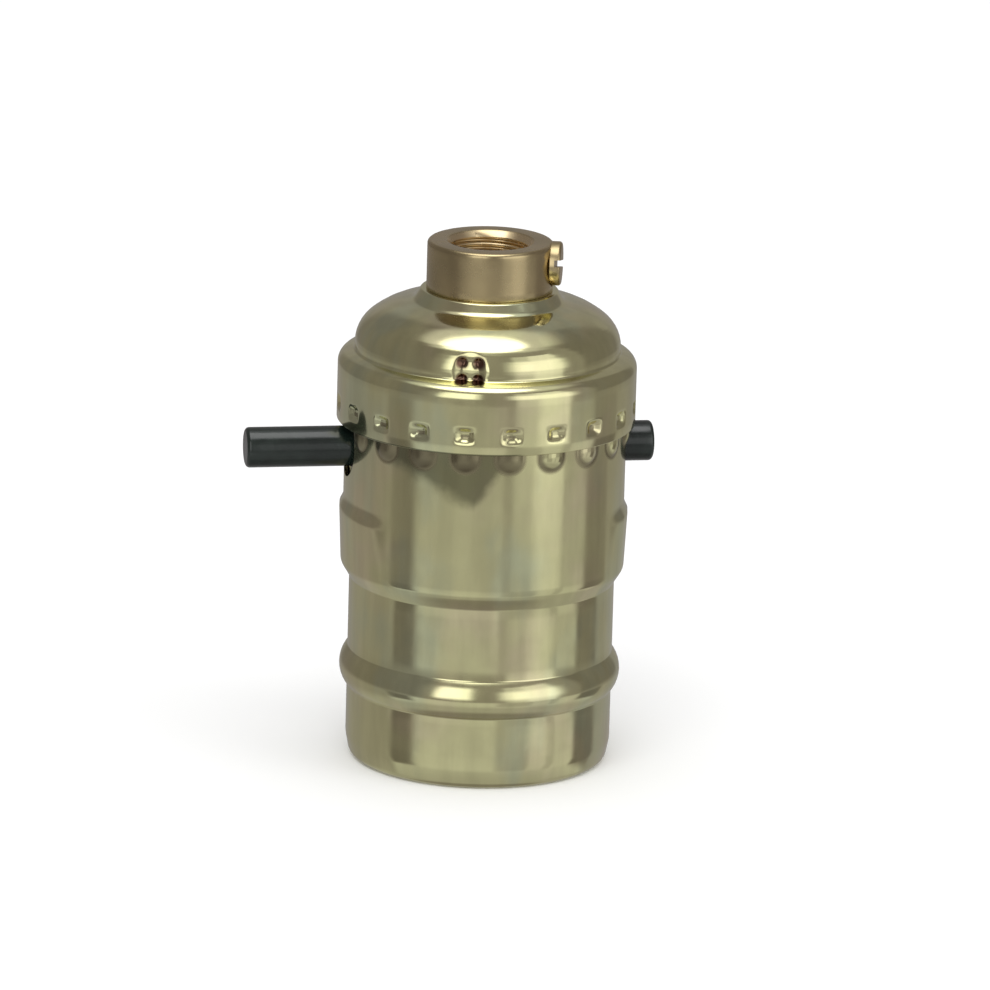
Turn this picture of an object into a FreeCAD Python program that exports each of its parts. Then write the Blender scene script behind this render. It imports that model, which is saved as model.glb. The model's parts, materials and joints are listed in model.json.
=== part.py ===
"""Push-through lamp socket: brass cap and shell, insulating liners, and the switch and lampholder
they hold.

Millimetres. The origin is the centre of the shell's rim, which the socket stands on, with the mouth
for the lamp facing down. +Z runs up through the hub, and the push rod slides along X.

The lamp thread sets the radii of what lies round it, and the shell's step sets the heights above it.
"""
import FreeCAD
import Part

import math
import os

Vector = FreeCAD.Vector

# Lampholder and its thread for a medium lamp base
thread_root_radius = 13.2
thread_depth = 0.75
thread_pitch = 25.4 / 7
thread_half_width = 1.25
thread_crest_share = 0.33
thread_overlap = 0.1
thread_end_angle = 4.0
holder_wall = 0.35
holder_mouth_z = 4.5
holder_bevel = 1.0
holder_room = 0.75
holder_hole_clearance = 0.3

# Insulating liners, fibre
liner_wall = 0.7
liner_clearance = 0.25
liner_above_shell = 1.0
cap_liner_clearance = 0.15

# Shell, drawn brass
sheet_wall = 0.4
rim_draft = 0.5
rim_round = 1.1
hem_width = 1.55
hem_height = 2.4
taper_height = 2.5
bead_rise = 1.3
bead_half_height = 2.2
bead_round = 3.0
bead_foot_round = 2.5
step_z = 21.9
step_height = 1.7
step_round = 1.6
upper_step = 0.9
upper_height = 23.7

# Pads pressed out of the shell's sides, below the rod
pad_height = 8.4
pad_half_width = 9.0
pad_rise = 0.45
pad_foot_rise = 0.15
pad_edge = 1.2

# Flutes round the shell's upper edge, and the dents of the cap that snap into them
flute_places = 20
flute_length = 7.0
flute_height = 0.5
flute_radius = 1.8
dent_drop = 2.3
dent_height = 1.7
dent_radius = 1.1
dent_depth = 0.5
snap_clearance = 0.1

# Cap, spun brass
skirt_clearance = 0.1
skirt_below_dents = 2.3
shoulder_height = 3.0
skirt_round = 1.45
groove_inset = 0.95
groove_height = 0.8
dome_wall_height = 2.8
dome_round = 4.1
dome_bend_inset = 3.4
dome_bend_height = 2.4
dome_bend_round = 7.75
dome_top_height = 0.83
crown_land = 1.4
crown_height = 1.3
crown_draft = 0.8
crown_foot_round = 1.2
crown_round = 0.4

# Punch mark that locks the cap to its liner: a dish with four small pits
punch_azimuth = -107.6
punch_above_groove = 1.0
punch_radius = 2.3
punch_depth = 0.5
pit_place = 1.0
pit_radius = 0.4
pit_depth = 0.2

# Hub, turned brass, staked into the cap
nipple_bore_radius = 4.45
hub_wall = 2.95
hub_height = 5.77
hub_round = 0.5
bore_chamfer = 0.7
nipple_stop_step = 0.55
nipple_stop_height = 0.8
spigot_inset = 1.5
stake_inset = 0.4
stake_thickness = 0.6
stake_bevel = 0.25

# Set screw in the side of the hub
set_screw_azimuth = -15.0
set_screw_above_middle = 0.45
set_screw_radius = 1.75
set_screw_head_radius = 2.6
set_screw_head_height = 1.3
set_screw_inset = 0.3
set_screw_tip_gap = 0.8
set_screw_chamfer = 0.35
slot_width = 0.8
slot_depth = 0.7

# Push rod
rod_radius = 2.38
rod_length = 48.4
rod_travel = 8.6
rod_below_skirt = 0.67
rod_end_round = 0.5
rod_fit = 0.06
saddle_depth = 1.2
saddle_seat_depth = 0.25
saddle_seat_length = 1.6
saddle_end_room = 2.6
wiper_flat_depth = 0.8
wiper_flat_length = 4.6

# Moulded switch body, its base, the cover and the barrier between them
moulding_clearance = 0.4
body_below_shell_top = 1.6
body_height = 13.5
boss_wall = 1.02
boss_clearance = 0.2
boss_inset = 0.6
base_thickness = 3.4
base_nose_height = 1.2
barrier_thickness = 0.3
cover_thickness = 0.8
cover_margin = 0.3
switch_room_half_width = 4.8
switch_room_end_room = 0.75
spring_room_half_width = 2.6
spring_room_start = -3.2
spring_room_end_room = 0.4

# Long rivets through the mouldings
body_rivet_azimuth = 37.4
body_rivet_edge = 3.2
body_rivet_radius = 1.25
body_rivet_head_radius = 2.2
body_rivet_head_height = 0.8

# Wire terminals
terminal_face_share = 0.683
terminal_thickness = 0.8
terminal_half_width = 4.3
terminal_below_body_top = 1.4
terminal_round = 1.2
terminal_room = 0.3
foot_thickness = 0.8
terminal_screw_above_rod = 0.45
terminal_screw_radius = 1.9
terminal_screw_length = 4.2
terminal_screw_head_radius = 3.3
terminal_screw_head_height = 1.8
terminal_screw_chamfer = 0.4

# Fixed switch contacts, which lie in the top of the base
contact_y_share = 0.23
contact_half_width_share = 0.115
contact_end_room = 1.75
contact_button_radius = 1.2
contact_stem_radius = 0.8
contact_button_height = 0.6

# Bridging wiper that the rod carries
wiper_thickness = 0.4
wiper_width = 3.0
wiper_gap = 0.15
wiper_round = 0.8
wiper_pin_radius = 0.8
wiper_pin_depth = 1.5
wiper_pin_head_radius = 1.3
wiper_pin_head_height = 0.5

# Detent spring, a leaf riveted under the cover with its nose in the rod's saddle
leaf_thickness = 0.35
leaf_width = 4.2
leaf_gap = 0.1
leaf_nose_round = 0.9
leaf_tail_x = -1.7
leaf_tail_rise = 1.4
leaf_rivet_edge = 5.2
leaf_before_rivet = 2.3
leaf_past_rivet = 2.1
leaf_rivet_radius = 0.8
leaf_rivet_head_radius = 1.5
leaf_rivet_head_height = 0.5

# Centre contact and the rivets of the lampholder
neutral_rivet_inset = 1.9
nose_rivet_gap = 0.6
shell_rivet_radius = 1.2
shell_rivet_head_radius = 1.8
shell_rivet_head_height = 0.7
tongue_thickness = 0.5
tongue_width = 5.0
tongue_past_rivet = 2.0
tongue_bend_room = 0.6
tongue_tip_x = 1.8
tongue_drop = 2.4
tongue_end_x = 3.8
tongue_end_rise = 0.7
tongue_round = 0.8
centre_rivet_radius = 1.2
centre_rivet_head_radius = 1.7
centre_rivet_head_height = 0.6
rivet_clearance = 0.15

# Radii that follow, from the lamp thread outwards
thread_crest_radius = thread_root_radius - thread_depth
liner_inner_radius = thread_root_radius + holder_wall + holder_room
liner_outer_radius = liner_inner_radius + liner_wall
lower_radius = liner_outer_radius + liner_clearance + sheet_wall
rim_outer_radius = lower_radius - rim_draft
rim_inner_radius = rim_outer_radius - hem_width
upper_radius = lower_radius + upper_step
skirt_radius = upper_radius + flute_height + skirt_clearance + sheet_wall
dome_radius = upper_radius - groove_inset
dome_bend_radius = dome_radius - dome_bend_inset
hub_radius = nipple_bore_radius + hub_wall
crown_radius = hub_radius + crown_land
spigot_radius = hub_radius - spigot_inset
stake_radius = hub_radius - stake_inset
nipple_stop_radius = nipple_bore_radius - nipple_stop_step
set_screw_tip_radius = nipple_bore_radius + set_screw_tip_gap
moulding_radius = liner_inner_radius - moulding_clearance
boss_radius = rod_radius + boss_wall
boss_end_radius = upper_radius - boss_inset
slot_radius = boss_radius + boss_clearance
rod_bore_radius = rod_radius + rod_fit

# Heights that follow, from the shell's step upwards
bead_z = step_z / 2
pad_top_z = step_z + pad_height
shell_top_z = step_z + upper_height
liner_top_z = shell_top_z + liner_above_shell
flute_bottom_z = shell_top_z - flute_length
dent_z = shell_top_z - dent_drop
skirt_edge_z = dent_z - skirt_below_dents
skirt_top_z = shell_top_z + shoulder_height
groove_z = skirt_top_z + groove_height
punch_z = groove_z + punch_above_groove
dome_edge_z = groove_z + dome_wall_height
dome_bend_z = dome_edge_z + dome_bend_height
crown_foot_z = dome_bend_z + dome_top_height
cap_top_z = crown_foot_z + crown_height
hub_top_z = cap_top_z + hub_height
set_screw_z = cap_top_z + hub_height / 2 + set_screw_above_middle
rod_z = skirt_edge_z - rod_below_skirt - rod_radius
body_top_z = shell_top_z - body_below_shell_top
body_bottom_z = body_top_z - body_height
base_top_z = body_bottom_z - barrier_thickness
base_bottom_z = base_top_z - base_thickness
nose_z = base_bottom_z - base_nose_height
foot_z = base_top_z - foot_thickness
cover_top_z = body_top_z + cover_thickness
saddle_z = rod_z + rod_radius - saddle_depth
wiper_top_z = rod_z - rod_radius + wiper_flat_depth
wiper_foot_z = base_top_z + contact_button_height + wiper_gap
terminal_top_z = body_top_z - terminal_below_body_top
terminal_screw_z = rod_z + terminal_screw_above_rod
thread_turns = (base_bottom_z - holder_bevel - holder_mouth_z) / thread_pitch - 1

# Places across the switch that follow
rod_middle_x = -rod_travel / 2
terminal_face_y = terminal_face_share * moulding_radius
terminal_outer_y = terminal_face_y + terminal_thickness
contact_x = rod_travel / 2
contact_y = contact_y_share * moulding_radius
contact_half_width = contact_half_width_share * moulding_radius
contact_end_x = contact_x + contact_end_room
switch_room_half_length = contact_x + wiper_width / 2 + switch_room_end_room
body_rivet_x = (moulding_radius - body_rivet_edge) * math.cos(math.radians(body_rivet_azimuth))
body_rivet_y = (moulding_radius - body_rivet_edge) * math.sin(math.radians(body_rivet_azimuth))
neutral_rivet_y = terminal_face_y - neutral_rivet_inset
base_nose_radius = neutral_rivet_y - shell_rivet_head_radius - nose_rivet_gap
nose_rivet_x = -(base_nose_radius + shell_rivet_head_radius + nose_rivet_gap)
centre_rivet_x = -base_nose_radius / 2
tongue_start_x = centre_rivet_x - tongue_past_rivet
leaf_rivet_x = moulding_radius - leaf_rivet_edge
leaf_bend_x = leaf_rivet_x - leaf_before_rivet
leaf_end_x = leaf_rivet_x + leaf_past_rivet
spring_room_end = leaf_end_x + spring_room_end_room
shell_rivet_places = ((0.0, neutral_rivet_y), (nose_rivet_x, 0.0))
flute_azimuths = [90 + place * 360 / flute_places for place in range(flute_places)]
pad_azimuths = (0, 180)

ORIGIN = Vector(0, 0, 0)
UP = Vector(0, 0, 1)
ALONG = Vector(1, 0, 0)
ACROSS = Vector(0, 1, 0)
BEYOND = 2 * rod_length
SAME_POINT = 1e-6


def unit(start, end):
    """Direction from one (r, z) corner to another, as a pair of length 1."""
    run = math.hypot(end[0] - start[0], end[1] - start[1])
    return ((end[0] - start[0]) / run, (end[1] - start[1]) / run)


def offset_path(corners, distance):
    """Path of (r, z, round) corners moved to its left, with its rounds kept concentric."""
    moved = []
    last = len(corners) - 1
    for index, (r, z, radius) in enumerate(corners):
        before = unit(corners[max(index - 1, 0)], corners[max(index, 1)])
        after = unit(corners[min(index, last - 1)], corners[min(index + 1, last)])
        turn = before[0] * after[1] - before[1] * after[0]
        share = distance / (1 + before[0] * after[0] + before[1] * after[1])
        moved_r = r - share * (before[1] + after[1])
        moved_z = z + share * (before[0] + after[0])
        if radius:
            radius = max(radius - math.copysign(distance, turn), 0)
        moved.append((moved_r, moved_z, radius))
    return moved


def profile_face(corners):
    """Flat face in the XZ plane, bounded by (r, z, round) corners."""
    edges = []
    points = []
    count = len(corners)
    for index, corner in enumerate(corners):
        here = Vector(corner[0], 0, corner[1])
        if corner[2] <= 0:
            points.append((here, here, here))
            continue
        back = unit(corner, corners[index - 1])
        ahead = unit(corner, corners[(index + 1) % count])
        cosine = back[0] * ahead[0] + back[1] * ahead[1]
        half_angle = math.acos(max(-1.0, min(1.0, cosine))) / 2
        reach = corner[2] / math.tan(half_angle)
        first = here + Vector(back[0], 0, back[1]) * reach
        final = here + Vector(ahead[0], 0, ahead[1]) * reach
        inward = Vector(back[0] + ahead[0], 0, back[1] + ahead[1]).normalize()
        middle = here + inward * (corner[2] / math.sin(half_angle) - corner[2])
        points.append((first, middle, final))
    for index, (first, middle, final) in enumerate(points):
        if (final - first).Length > SAME_POINT:
            edges.append(Part.Arc(first, middle, final).toShape())
        start = points[(index + 1) % count][0]
        if (start - final).Length > SAME_POINT:
            edges.append(Part.LineSegment(final, start).toShape())
    return Part.Face(Part.Wire(edges))


def turned(corners):
    """Solid of revolution about Z of a closed profile."""
    return profile_face(corners).revolve(ORIGIN, UP, 360)


def sheet_corners(path, wall):
    """Closed profile of sheet metal: a path and its copy one wall to the left."""
    return path + offset_path(path, wall)[::-1]


def strip(path, thickness, width):
    """Bent flat strip: a path in the XZ plane, given a thickness and a width across Y."""
    face = profile_face(sheet_corners(path, thickness))
    face.translate(ACROSS * (-width / 2))
    return face.extrude(ACROSS * width)


def disc(radius, bottom_z, top_z, x=0.0, y=0.0):
    """Upright cylinder between two heights."""
    return Part.makeCylinder(radius, top_z - bottom_z, Vector(x, y, bottom_z))


def block(x_range, y_range, z_range):
    """Box between pairs of limits."""
    low = Vector(x_range[0], y_range[0], z_range[0])
    size = Vector(x_range[1], y_range[1], z_range[1]) - low
    return Part.makeBox(size.x, size.y, size.z, low)


def rod_along_x(radius, start_x, end_x, z):
    """Round bar along X."""
    return Part.makeCylinder(radius, end_x - start_x, Vector(start_x, 0, z), ALONG)


def rivet(x, y, shank, head, low_z, high_z, head_height):
    """Upright rivet with a bevelled head below low_z and above high_z."""
    bevel = head_height / 2
    corners = [
        (0, low_z - head_height, 0),
        (head - bevel, low_z - head_height, 0),
        (head, low_z - bevel, 0),
        (head, low_z, 0),
        (shank, low_z, 0),
        (shank, high_z, 0),
        (head, high_z, 0),
        (head, high_z + bevel, 0),
        (head - bevel, high_z + head_height, 0),
        (0, high_z + head_height, 0),
    ]
    shape = turned(corners)
    shape.translate(Vector(x, y, 0))
    return shape


def slot_cutter():
    """Upright U-slots at both sides, which the rod's bosses sit in, open at the top."""
    round_part = rod_along_x(slot_radius, -BEYOND / 2, BEYOND / 2, rod_z)
    straight = block((-BEYOND / 2, BEYOND / 2), (-slot_radius, slot_radius), (rod_z, BEYOND))
    return round_part.fuse(straight)


def shell_path():
    """Outer line of the shell, from its rim to its upper edge."""
    return [
        (rim_outer_radius, 0, rim_round),
        (lower_radius, taper_height, 0),
        (lower_radius, bead_z - bead_half_height, bead_foot_round),
        (lower_radius + bead_rise, bead_z, bead_round),
        (lower_radius, bead_z + bead_half_height, bead_foot_round),
        (lower_radius, step_z, 0),
        (upper_radius, step_z + step_height, step_round),
        (upper_radius, shell_top_z, 0),
    ]


def pad_path():
    """Outer line of the shell where it runs over a side pad."""
    return [
        (lower_radius, bead_z, 0),
        (lower_radius, step_z, 0),
        (upper_radius + pad_foot_rise, step_z + step_height, step_round),
        (upper_radius + pad_rise, pad_top_z, 0),
        (upper_radius, pad_top_z + pad_edge, 0),
        (upper_radius, shell_top_z, 0),
    ]


def pad(azimuth, wall):
    """Solid within a side pad's line and its slanted ends; wall makes the hollow behind it."""
    path = offset_path(pad_path(), wall)[1:-1]
    body = turned(path + [(0, path[-1][1], 0), (0, path[0][1], 0)])
    foot_x = math.sqrt(upper_radius ** 2 - pad_half_width ** 2)
    crest_y = pad_half_width - pad_edge
    crest_x = math.sqrt((upper_radius + pad_rise) ** 2 - crest_y ** 2)
    slant = math.atan2(pad_edge, crest_x - foot_x)
    tip_x = foot_x + pad_half_width / math.tan(slant) - wall / math.sin(slant)
    base_x = foot_x - pad_edge
    base_y = (tip_x - base_x) * math.tan(slant)
    points = [Vector(tip_x, 0, 0), Vector(base_x, base_y, 0), Vector(base_x, -base_y, 0)]
    wedge = Part.Face(Part.makePolygon(points + points[:1])).extrude(UP * BEYOND)
    shape = body.common(wedge)
    shape.rotate(ORIGIN, UP, azimuth)
    return shape


def flute(azimuth, wall):
    """One upright flute with a round foot, pinched where the cap's dent lies.

    A wall above 0 gives the plainer, smaller hollow behind it.
    """
    radius = flute_radius - wall
    centre = upper_radius + flute_height - flute_radius
    pinch = dent_height / 2 + sheet_wall + snap_clearance
    low_z = flute_bottom_z + flute_radius
    lower_top_z = dent_z - pinch - sheet_wall
    upper_low_z = dent_z + pinch + wall
    lower = disc(radius, low_z, lower_top_z - wall, centre)
    if not wall:
        lower = lower.fuse(Part.makeSphere(radius, Vector(centre, 0, low_z)))
    upper = disc(radius, upper_low_z, shell_top_z + wall, centre)
    both = lower.fuse(upper)
    both.rotate(ORIGIN, UP, azimuth)
    return both


def shell_flute_azimuths():
    """Directions of the shell's flutes, which leave out those that the rod slots take away."""
    reach = math.degrees(math.asin(slot_radius / upper_radius))
    return [azimuth for azimuth in flute_azimuths if abs((azimuth + 90) % 180 - 90) > reach]


def make_shell():
    """Drawn shell with its turned-in rim, bead, step, side pads, flutes and rod slots."""
    outer_path = shell_path()
    inner_path = offset_path(outer_path, sheet_wall)
    outer = turned(outer_path + [(0, shell_top_z, 0), (0, 0, 0)])
    hollow_path = inner_path[2:]
    hollow = [(inner_path[1][0], hem_height, 0)] + hollow_path[:-1]
    hollow = hollow + [(hollow_path[-1][0], BEYOND, 0), (0, BEYOND, 0), (0, hem_height, 0)]
    inside = turned(hollow).fuse(disc(rim_inner_radius, -hem_height, hem_height))
    pressed = [flute(azimuth, 0) for azimuth in shell_flute_azimuths()]
    hollows = [flute(azimuth, sheet_wall) for azimuth in shell_flute_azimuths()]
    outer = outer.fuse(pressed + [pad(azimuth, 0) for azimuth in pad_azimuths])
    inside = inside.fuse(hollows + [pad(azimuth, sheet_wall) for azimuth in pad_azimuths])
    return outer.cut(inside).cut(slot_cutter())


def cap_path():
    """Outer line of the cap, from its skirt's edge to the hole for the hub."""
    return [
        (skirt_radius, skirt_edge_z, 0),
        (skirt_radius, skirt_top_z, skirt_round),
        (dome_radius, groove_z, 0),
        (dome_radius, dome_edge_z, dome_round),
        (dome_bend_radius, dome_bend_z, dome_bend_round),
        (crown_radius, crown_foot_z, crown_foot_round),
        (crown_radius - crown_draft, cap_top_z, crown_round),
        (spigot_radius, cap_top_z, 0),
    ]


def dent(azimuth, wall):
    """Upright punch for one dent of the skirt; wall makes the larger punch of its inner side."""
    radius = dent_radius + wall
    half = dent_height / 2 + wall
    centre = skirt_radius - dent_depth + dent_radius
    punch = disc(radius, dent_z - half, dent_z + half, centre)
    punch.rotate(ORIGIN, UP, azimuth)
    return punch


def towards_punch(shape):
    """Turns a shape that lies along +X, at height 0, to the punch mark's place."""
    shape.rotate(ORIGIN, UP, punch_azimuth)
    shape.translate(UP * punch_z)
    return shape


def dish_radius():
    """Radius of the ball that makes the punch mark's dish."""
    return (punch_radius ** 2 + punch_depth ** 2) / (2 * punch_depth)


def dish_punch(wall):
    """Round punch with a ball end; wall makes the larger one of the sheet's inner side."""
    ball_x = dome_radius - punch_depth + dish_radius()
    ball = Part.makeSphere(dish_radius() + wall, Vector(ball_x, 0, 0))
    return towards_punch(rod_along_x(punch_radius + wall, 0, ball_x, 0).common(ball))


def pits():
    """Four pins that leave the small pits in the dish."""
    from_middle = math.hypot(pit_place, pit_place)
    ball_x = dome_radius - punch_depth + dish_radius()
    end_x = ball_x - math.sqrt(dish_radius() ** 2 - from_middle ** 2) - pit_depth
    pins = []
    for y in (-pit_place, pit_place):
        for z in (-pit_place, pit_place):
            pin = rod_along_x(pit_radius, end_x, ball_x, z)
            pin.translate(ACROSS * y)
            pins.append(towards_punch(pin))
    return pins


def make_cap():
    """Spun cap with its dome, shoulder, punch mark and dented skirt."""
    inner_path = offset_path(cap_path(), sheet_wall)
    cap = turned(sheet_corners(cap_path(), sheet_wall))
    inner_side = disc(skirt_radius - sheet_wall / 2, skirt_edge_z, skirt_top_z)
    bumps = inner_side.common(Part.makeCompound([dent(azimuth, sheet_wall) for azimuth in flute_azimuths]))
    hollow = turned(inner_path[:-1] + [(0, inner_path[-2][1], 0), (0, inner_path[0][1], 0)])
    dish = dish_punch(sheet_wall).common(hollow)
    cap = cap.fuse(bumps.Solids + dish.Solids)
    return cap.cut([dent(azimuth, 0) for azimuth in flute_azimuths] + [dish_punch(0)] + pits())


def screw_frame(shape):
    """Lays an upright shape, head up, along the set screw's axis."""
    shape.rotate(ORIGIN, ACROSS, 90)
    shape.rotate(ORIGIN, UP, set_screw_azimuth)
    shape.translate(UP * set_screw_z)
    return shape


def make_hub():
    """Turned hub, tapped for the nipple, with its spigot rolled over inside the cap."""
    stake_top_z = cap_top_z - sheet_wall
    stake_bottom_z = stake_top_z - stake_thickness
    corners = [
        (nipple_stop_radius, stake_bottom_z, 0),
        (stake_radius - stake_bevel, stake_bottom_z, 0),
        (stake_radius, stake_bottom_z + stake_bevel, 0),
        (stake_radius, stake_top_z, 0),
        (spigot_radius, stake_top_z, 0),
        (spigot_radius, cap_top_z, 0),
        (hub_radius, cap_top_z, 0),
        (hub_radius, hub_top_z, hub_round),
        (nipple_bore_radius + bore_chamfer, hub_top_z, 0),
        (nipple_bore_radius, hub_top_z - bore_chamfer, 0),
        (nipple_bore_radius, stake_bottom_z + nipple_stop_height, 0),
        (nipple_stop_radius, stake_bottom_z + nipple_stop_height, 0),
    ]
    seat = hub_radius - set_screw_inset
    tapped = screw_frame(disc(set_screw_radius, nipple_bore_radius / 2, hub_radius))
    spot_radius = set_screw_head_radius + rivet_clearance
    spot_face = screw_frame(disc(spot_radius, seat, hub_radius + set_screw_inset))
    return turned(corners).cut([tapped, spot_face])


def slotted_screw(shank, head, tip_z, seat_z, head_height, chamfer):
    """Upright screw, head up, with a slot across the head."""
    top_z = seat_z + head_height
    corners = [
        (0, tip_z, 0),
        (shank - chamfer, tip_z, 0),
        (shank, tip_z + chamfer, 0),
        (shank, seat_z, 0),
        (head, seat_z, 0),
        (head, top_z - chamfer, 0),
        (head - chamfer, top_z, 0),
        (0, top_z, 0),
    ]
    groove = block((-BEYOND, BEYOND), (-slot_width / 2, slot_width / 2), (top_z - slot_depth, BEYOND))
    return turned(corners).cut(groove)


def make_set_screw():
    """Slotted screw that locks the nipple, its head in a spot face of the hub."""
    seat = hub_radius - set_screw_inset
    shape = slotted_screw(
        set_screw_radius, set_screw_head_radius, set_screw_tip_radius, seat,
        set_screw_head_height, set_screw_chamfer)
    return screw_frame(shape)


def make_shell_liner():
    """Fibre tube that stands on the shell's hem, slotted at each side for the rod's bosses."""
    tube = disc(liner_outer_radius, hem_height, liner_top_z)
    tube = tube.cut(disc(liner_inner_radius, hem_height, liner_top_z))
    return tube.cut(slot_cutter())


def make_cap_liner():
    """Fibre cup under the cap's dome, standing on the shell liner's edge."""
    path = [
        (dome_radius, liner_top_z, 0),
        (dome_radius, dome_edge_z, dome_round),
        (dome_bend_radius, dome_bend_z, dome_bend_round),
        (crown_radius, crown_foot_z, 0),
    ]
    outer = offset_path(path, sheet_wall + cap_liner_clearance)
    hole = rod_along_x(punch_radius + sheet_wall + cap_liner_clearance, 0, dome_radius, 0)
    return turned(sheet_corners(outer, liner_wall)).cut(towards_punch(hole))


def make_push_rod():
    """Round rod with a saddle for the detent spring on top and a flat for the wiper below."""
    start = rod_middle_x - rod_length / 2
    bar = rod_along_x(rod_radius, start, start + rod_length, rod_z)
    rims = [edge for edge in bar.Edges if edge.Closed]
    bar = bar.makeFillet(rod_end_round, rims)
    half = rod_travel / 2 + saddle_end_room
    wide = (-BEYOND, BEYOND)
    saddle = block((rod_middle_x - half, rod_middle_x + half), wide, (saddle_z, BEYOND))
    seat_drop = saddle_z - saddle_seat_depth
    cuts = [saddle]
    for nose_x in (rod_middle_x - rod_travel / 2, rod_middle_x + rod_travel / 2):
        seat = (nose_x - saddle_seat_length / 2, nose_x + saddle_seat_length / 2)
        cuts.append(block(seat, wide, (seat_drop, BEYOND)))
    flat = (rod_middle_x - wiper_flat_length / 2, rod_middle_x + wiper_flat_length / 2)
    cuts.append(block(flat, wide, (-BEYOND, wiper_top_z)))
    pin_top = wiper_top_z + wiper_pin_depth
    cuts.append(disc(wiper_pin_radius, rod_z - rod_radius, pin_top, rod_middle_x))
    return bar.cut(cuts)


def make_wiper():
    """Bridging blade pinned under the rod, with a leg down each side to the contacts."""
    half = contact_y + wiper_thickness / 2
    path = [
        (-half, wiper_foot_z, 0),
        (-half, wiper_top_z, wiper_round),
        (half, wiper_top_z, wiper_round),
        (half, wiper_foot_z, 0),
    ]
    blade = strip(path[::-1], wiper_thickness, wiper_width)
    blade.rotate(ORIGIN, UP, 90)
    blade.translate(ALONG * rod_middle_x)
    return blade.cut(disc(wiper_pin_radius, 0, BEYOND, rod_middle_x))


def make_wiper_pin():
    """Headed pin that holds the wiper to the rod."""
    low_z = wiper_top_z - wiper_thickness
    shank = disc(wiper_pin_radius, low_z, wiper_top_z + wiper_pin_depth, rod_middle_x)
    head = disc(wiper_pin_head_radius, low_z - wiper_pin_head_height, low_z, rod_middle_x)
    return shank.fuse(head).removeSplitter()


def make_detent_spring():
    """Leaf under the cover whose nose rests in the rod's saddle."""
    nose_z = saddle_z + leaf_gap
    path = [
        (leaf_tail_x, nose_z + leaf_tail_rise, 0),
        (0, nose_z, leaf_nose_round),
        (leaf_bend_x, body_top_z - leaf_thickness, leaf_nose_round),
        (leaf_end_x, body_top_z - leaf_thickness, 0),
    ]
    leaf = strip(path, leaf_thickness, leaf_width)
    return leaf.cut(disc(leaf_rivet_radius, 0, BEYOND, leaf_rivet_x))


def make_detent_rivet():
    """Rivet that holds the leaf to the cover."""
    return rivet(
        leaf_rivet_x, 0, leaf_rivet_radius, leaf_rivet_head_radius,
        body_top_z - leaf_thickness, cover_top_z, leaf_rivet_head_height)


def body_rivet_places():
    """Centres of the two long rivets, opposite each other."""
    return ((body_rivet_x, body_rivet_y), (-body_rivet_x, -body_rivet_y))


def rivet_holes(extra=0.0):
    """Upright holes for the long rivets."""
    return [disc(body_rivet_radius + extra, 0, BEYOND, x, y) for x, y in body_rivet_places()]


def terminal_plate(side):
    """Outline of a terminal's upright plate, seen from the side it faces."""
    low, high = sorted((side * terminal_face_y, side * terminal_outer_y))
    plate = block((-terminal_half_width, terminal_half_width), (low, high), (foot_z, terminal_top_z))
    corners = [edge for edge in plate.Edges if is_top_corner(edge)]
    plate = plate.makeFillet(terminal_round, corners)
    hole = Part.makeCylinder(
        terminal_screw_radius, BEYOND, Vector(0, -BEYOND / 2, terminal_screw_z), ACROSS)
    return plate.cut(hole)


def is_top_corner(edge):
    """Whether an edge runs along Y at the top of a terminal's plate."""
    first, second = edge.Vertexes
    level = min(first.Z, second.Z) > terminal_top_z - terminal_thickness
    return level and abs(first.Y - second.Y) > terminal_thickness / 2


def neutral_foot(room=0.0):
    """Foot of the neutral terminal, which lies in the base up to its rivet; room widens it."""
    reach = shell_rivet_places[0][1] - shell_rivet_head_radius - room
    half = shell_rivet_head_radius + room
    return block((-half, half), (reach, terminal_outer_y + room), (foot_z, base_top_z))


def hot_foot(room=0.0):
    """Foot of the hot terminal, which ends in a fixed switch contact; room widens it."""
    inner_x = terminal_half_width - 2 * contact_half_width
    low_y = -(contact_y + contact_half_width)
    across = block(
        (inner_x - room, terminal_half_width + room),
        (-terminal_outer_y - room, low_y + room), (foot_z, base_top_z))
    pad = block(
        (inner_x - room, contact_end_x + room),
        (low_y - room, low_y + 2 * contact_half_width + room), (foot_z, base_top_z))
    return across.fuse(pad).removeSplitter()


def load_strip(room=0.0):
    """Strip from the centre rivet to the other fixed contact; room widens it."""
    start_x = centre_rivet_x - centre_rivet_head_radius
    tab_end_x = centre_rivet_x + centre_rivet_head_radius
    low_y = contact_y - contact_half_width
    high_y = contact_y + contact_half_width
    pad = block((start_x - room, contact_end_x + room), (low_y - room, high_y + room), (foot_z, base_top_z))
    tab = block(
        (start_x - room, tab_end_x + room),
        (-centre_rivet_head_radius - room, high_y + room), (foot_z, base_top_z))
    return pad.fuse(tab).removeSplitter()


def contact_places():
    """Centres of the two contact buttons, across the rod from each other."""
    return ((contact_x, contact_y), (contact_x, -contact_y))


def stem_holes():
    """Upright holes for the stems of the contact buttons."""
    return [disc(contact_stem_radius, 0, BEYOND, x, y) for x, y in contact_places()]


def make_neutral_terminal():
    """Neutral terminal: plate for the silver screw and foot under the shell rivet."""
    x, y = shell_rivet_places[0]
    shape = terminal_plate(1).fuse(neutral_foot()).removeSplitter()
    return shape.cut(disc(shell_rivet_radius, 0, BEYOND, x, y))


def make_hot_terminal():
    """Hot terminal: plate for the brass screw and foot that carries a contact."""
    return terminal_plate(-1).fuse(hot_foot()).removeSplitter().cut(stem_holes())


def make_load_contact():
    """Strip that carries current from the other contact to the centre rivet."""
    hole = disc(centre_rivet_radius, 0, BEYOND, centre_rivet_x)
    return load_strip().cut(stem_holes() + [hole])


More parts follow.
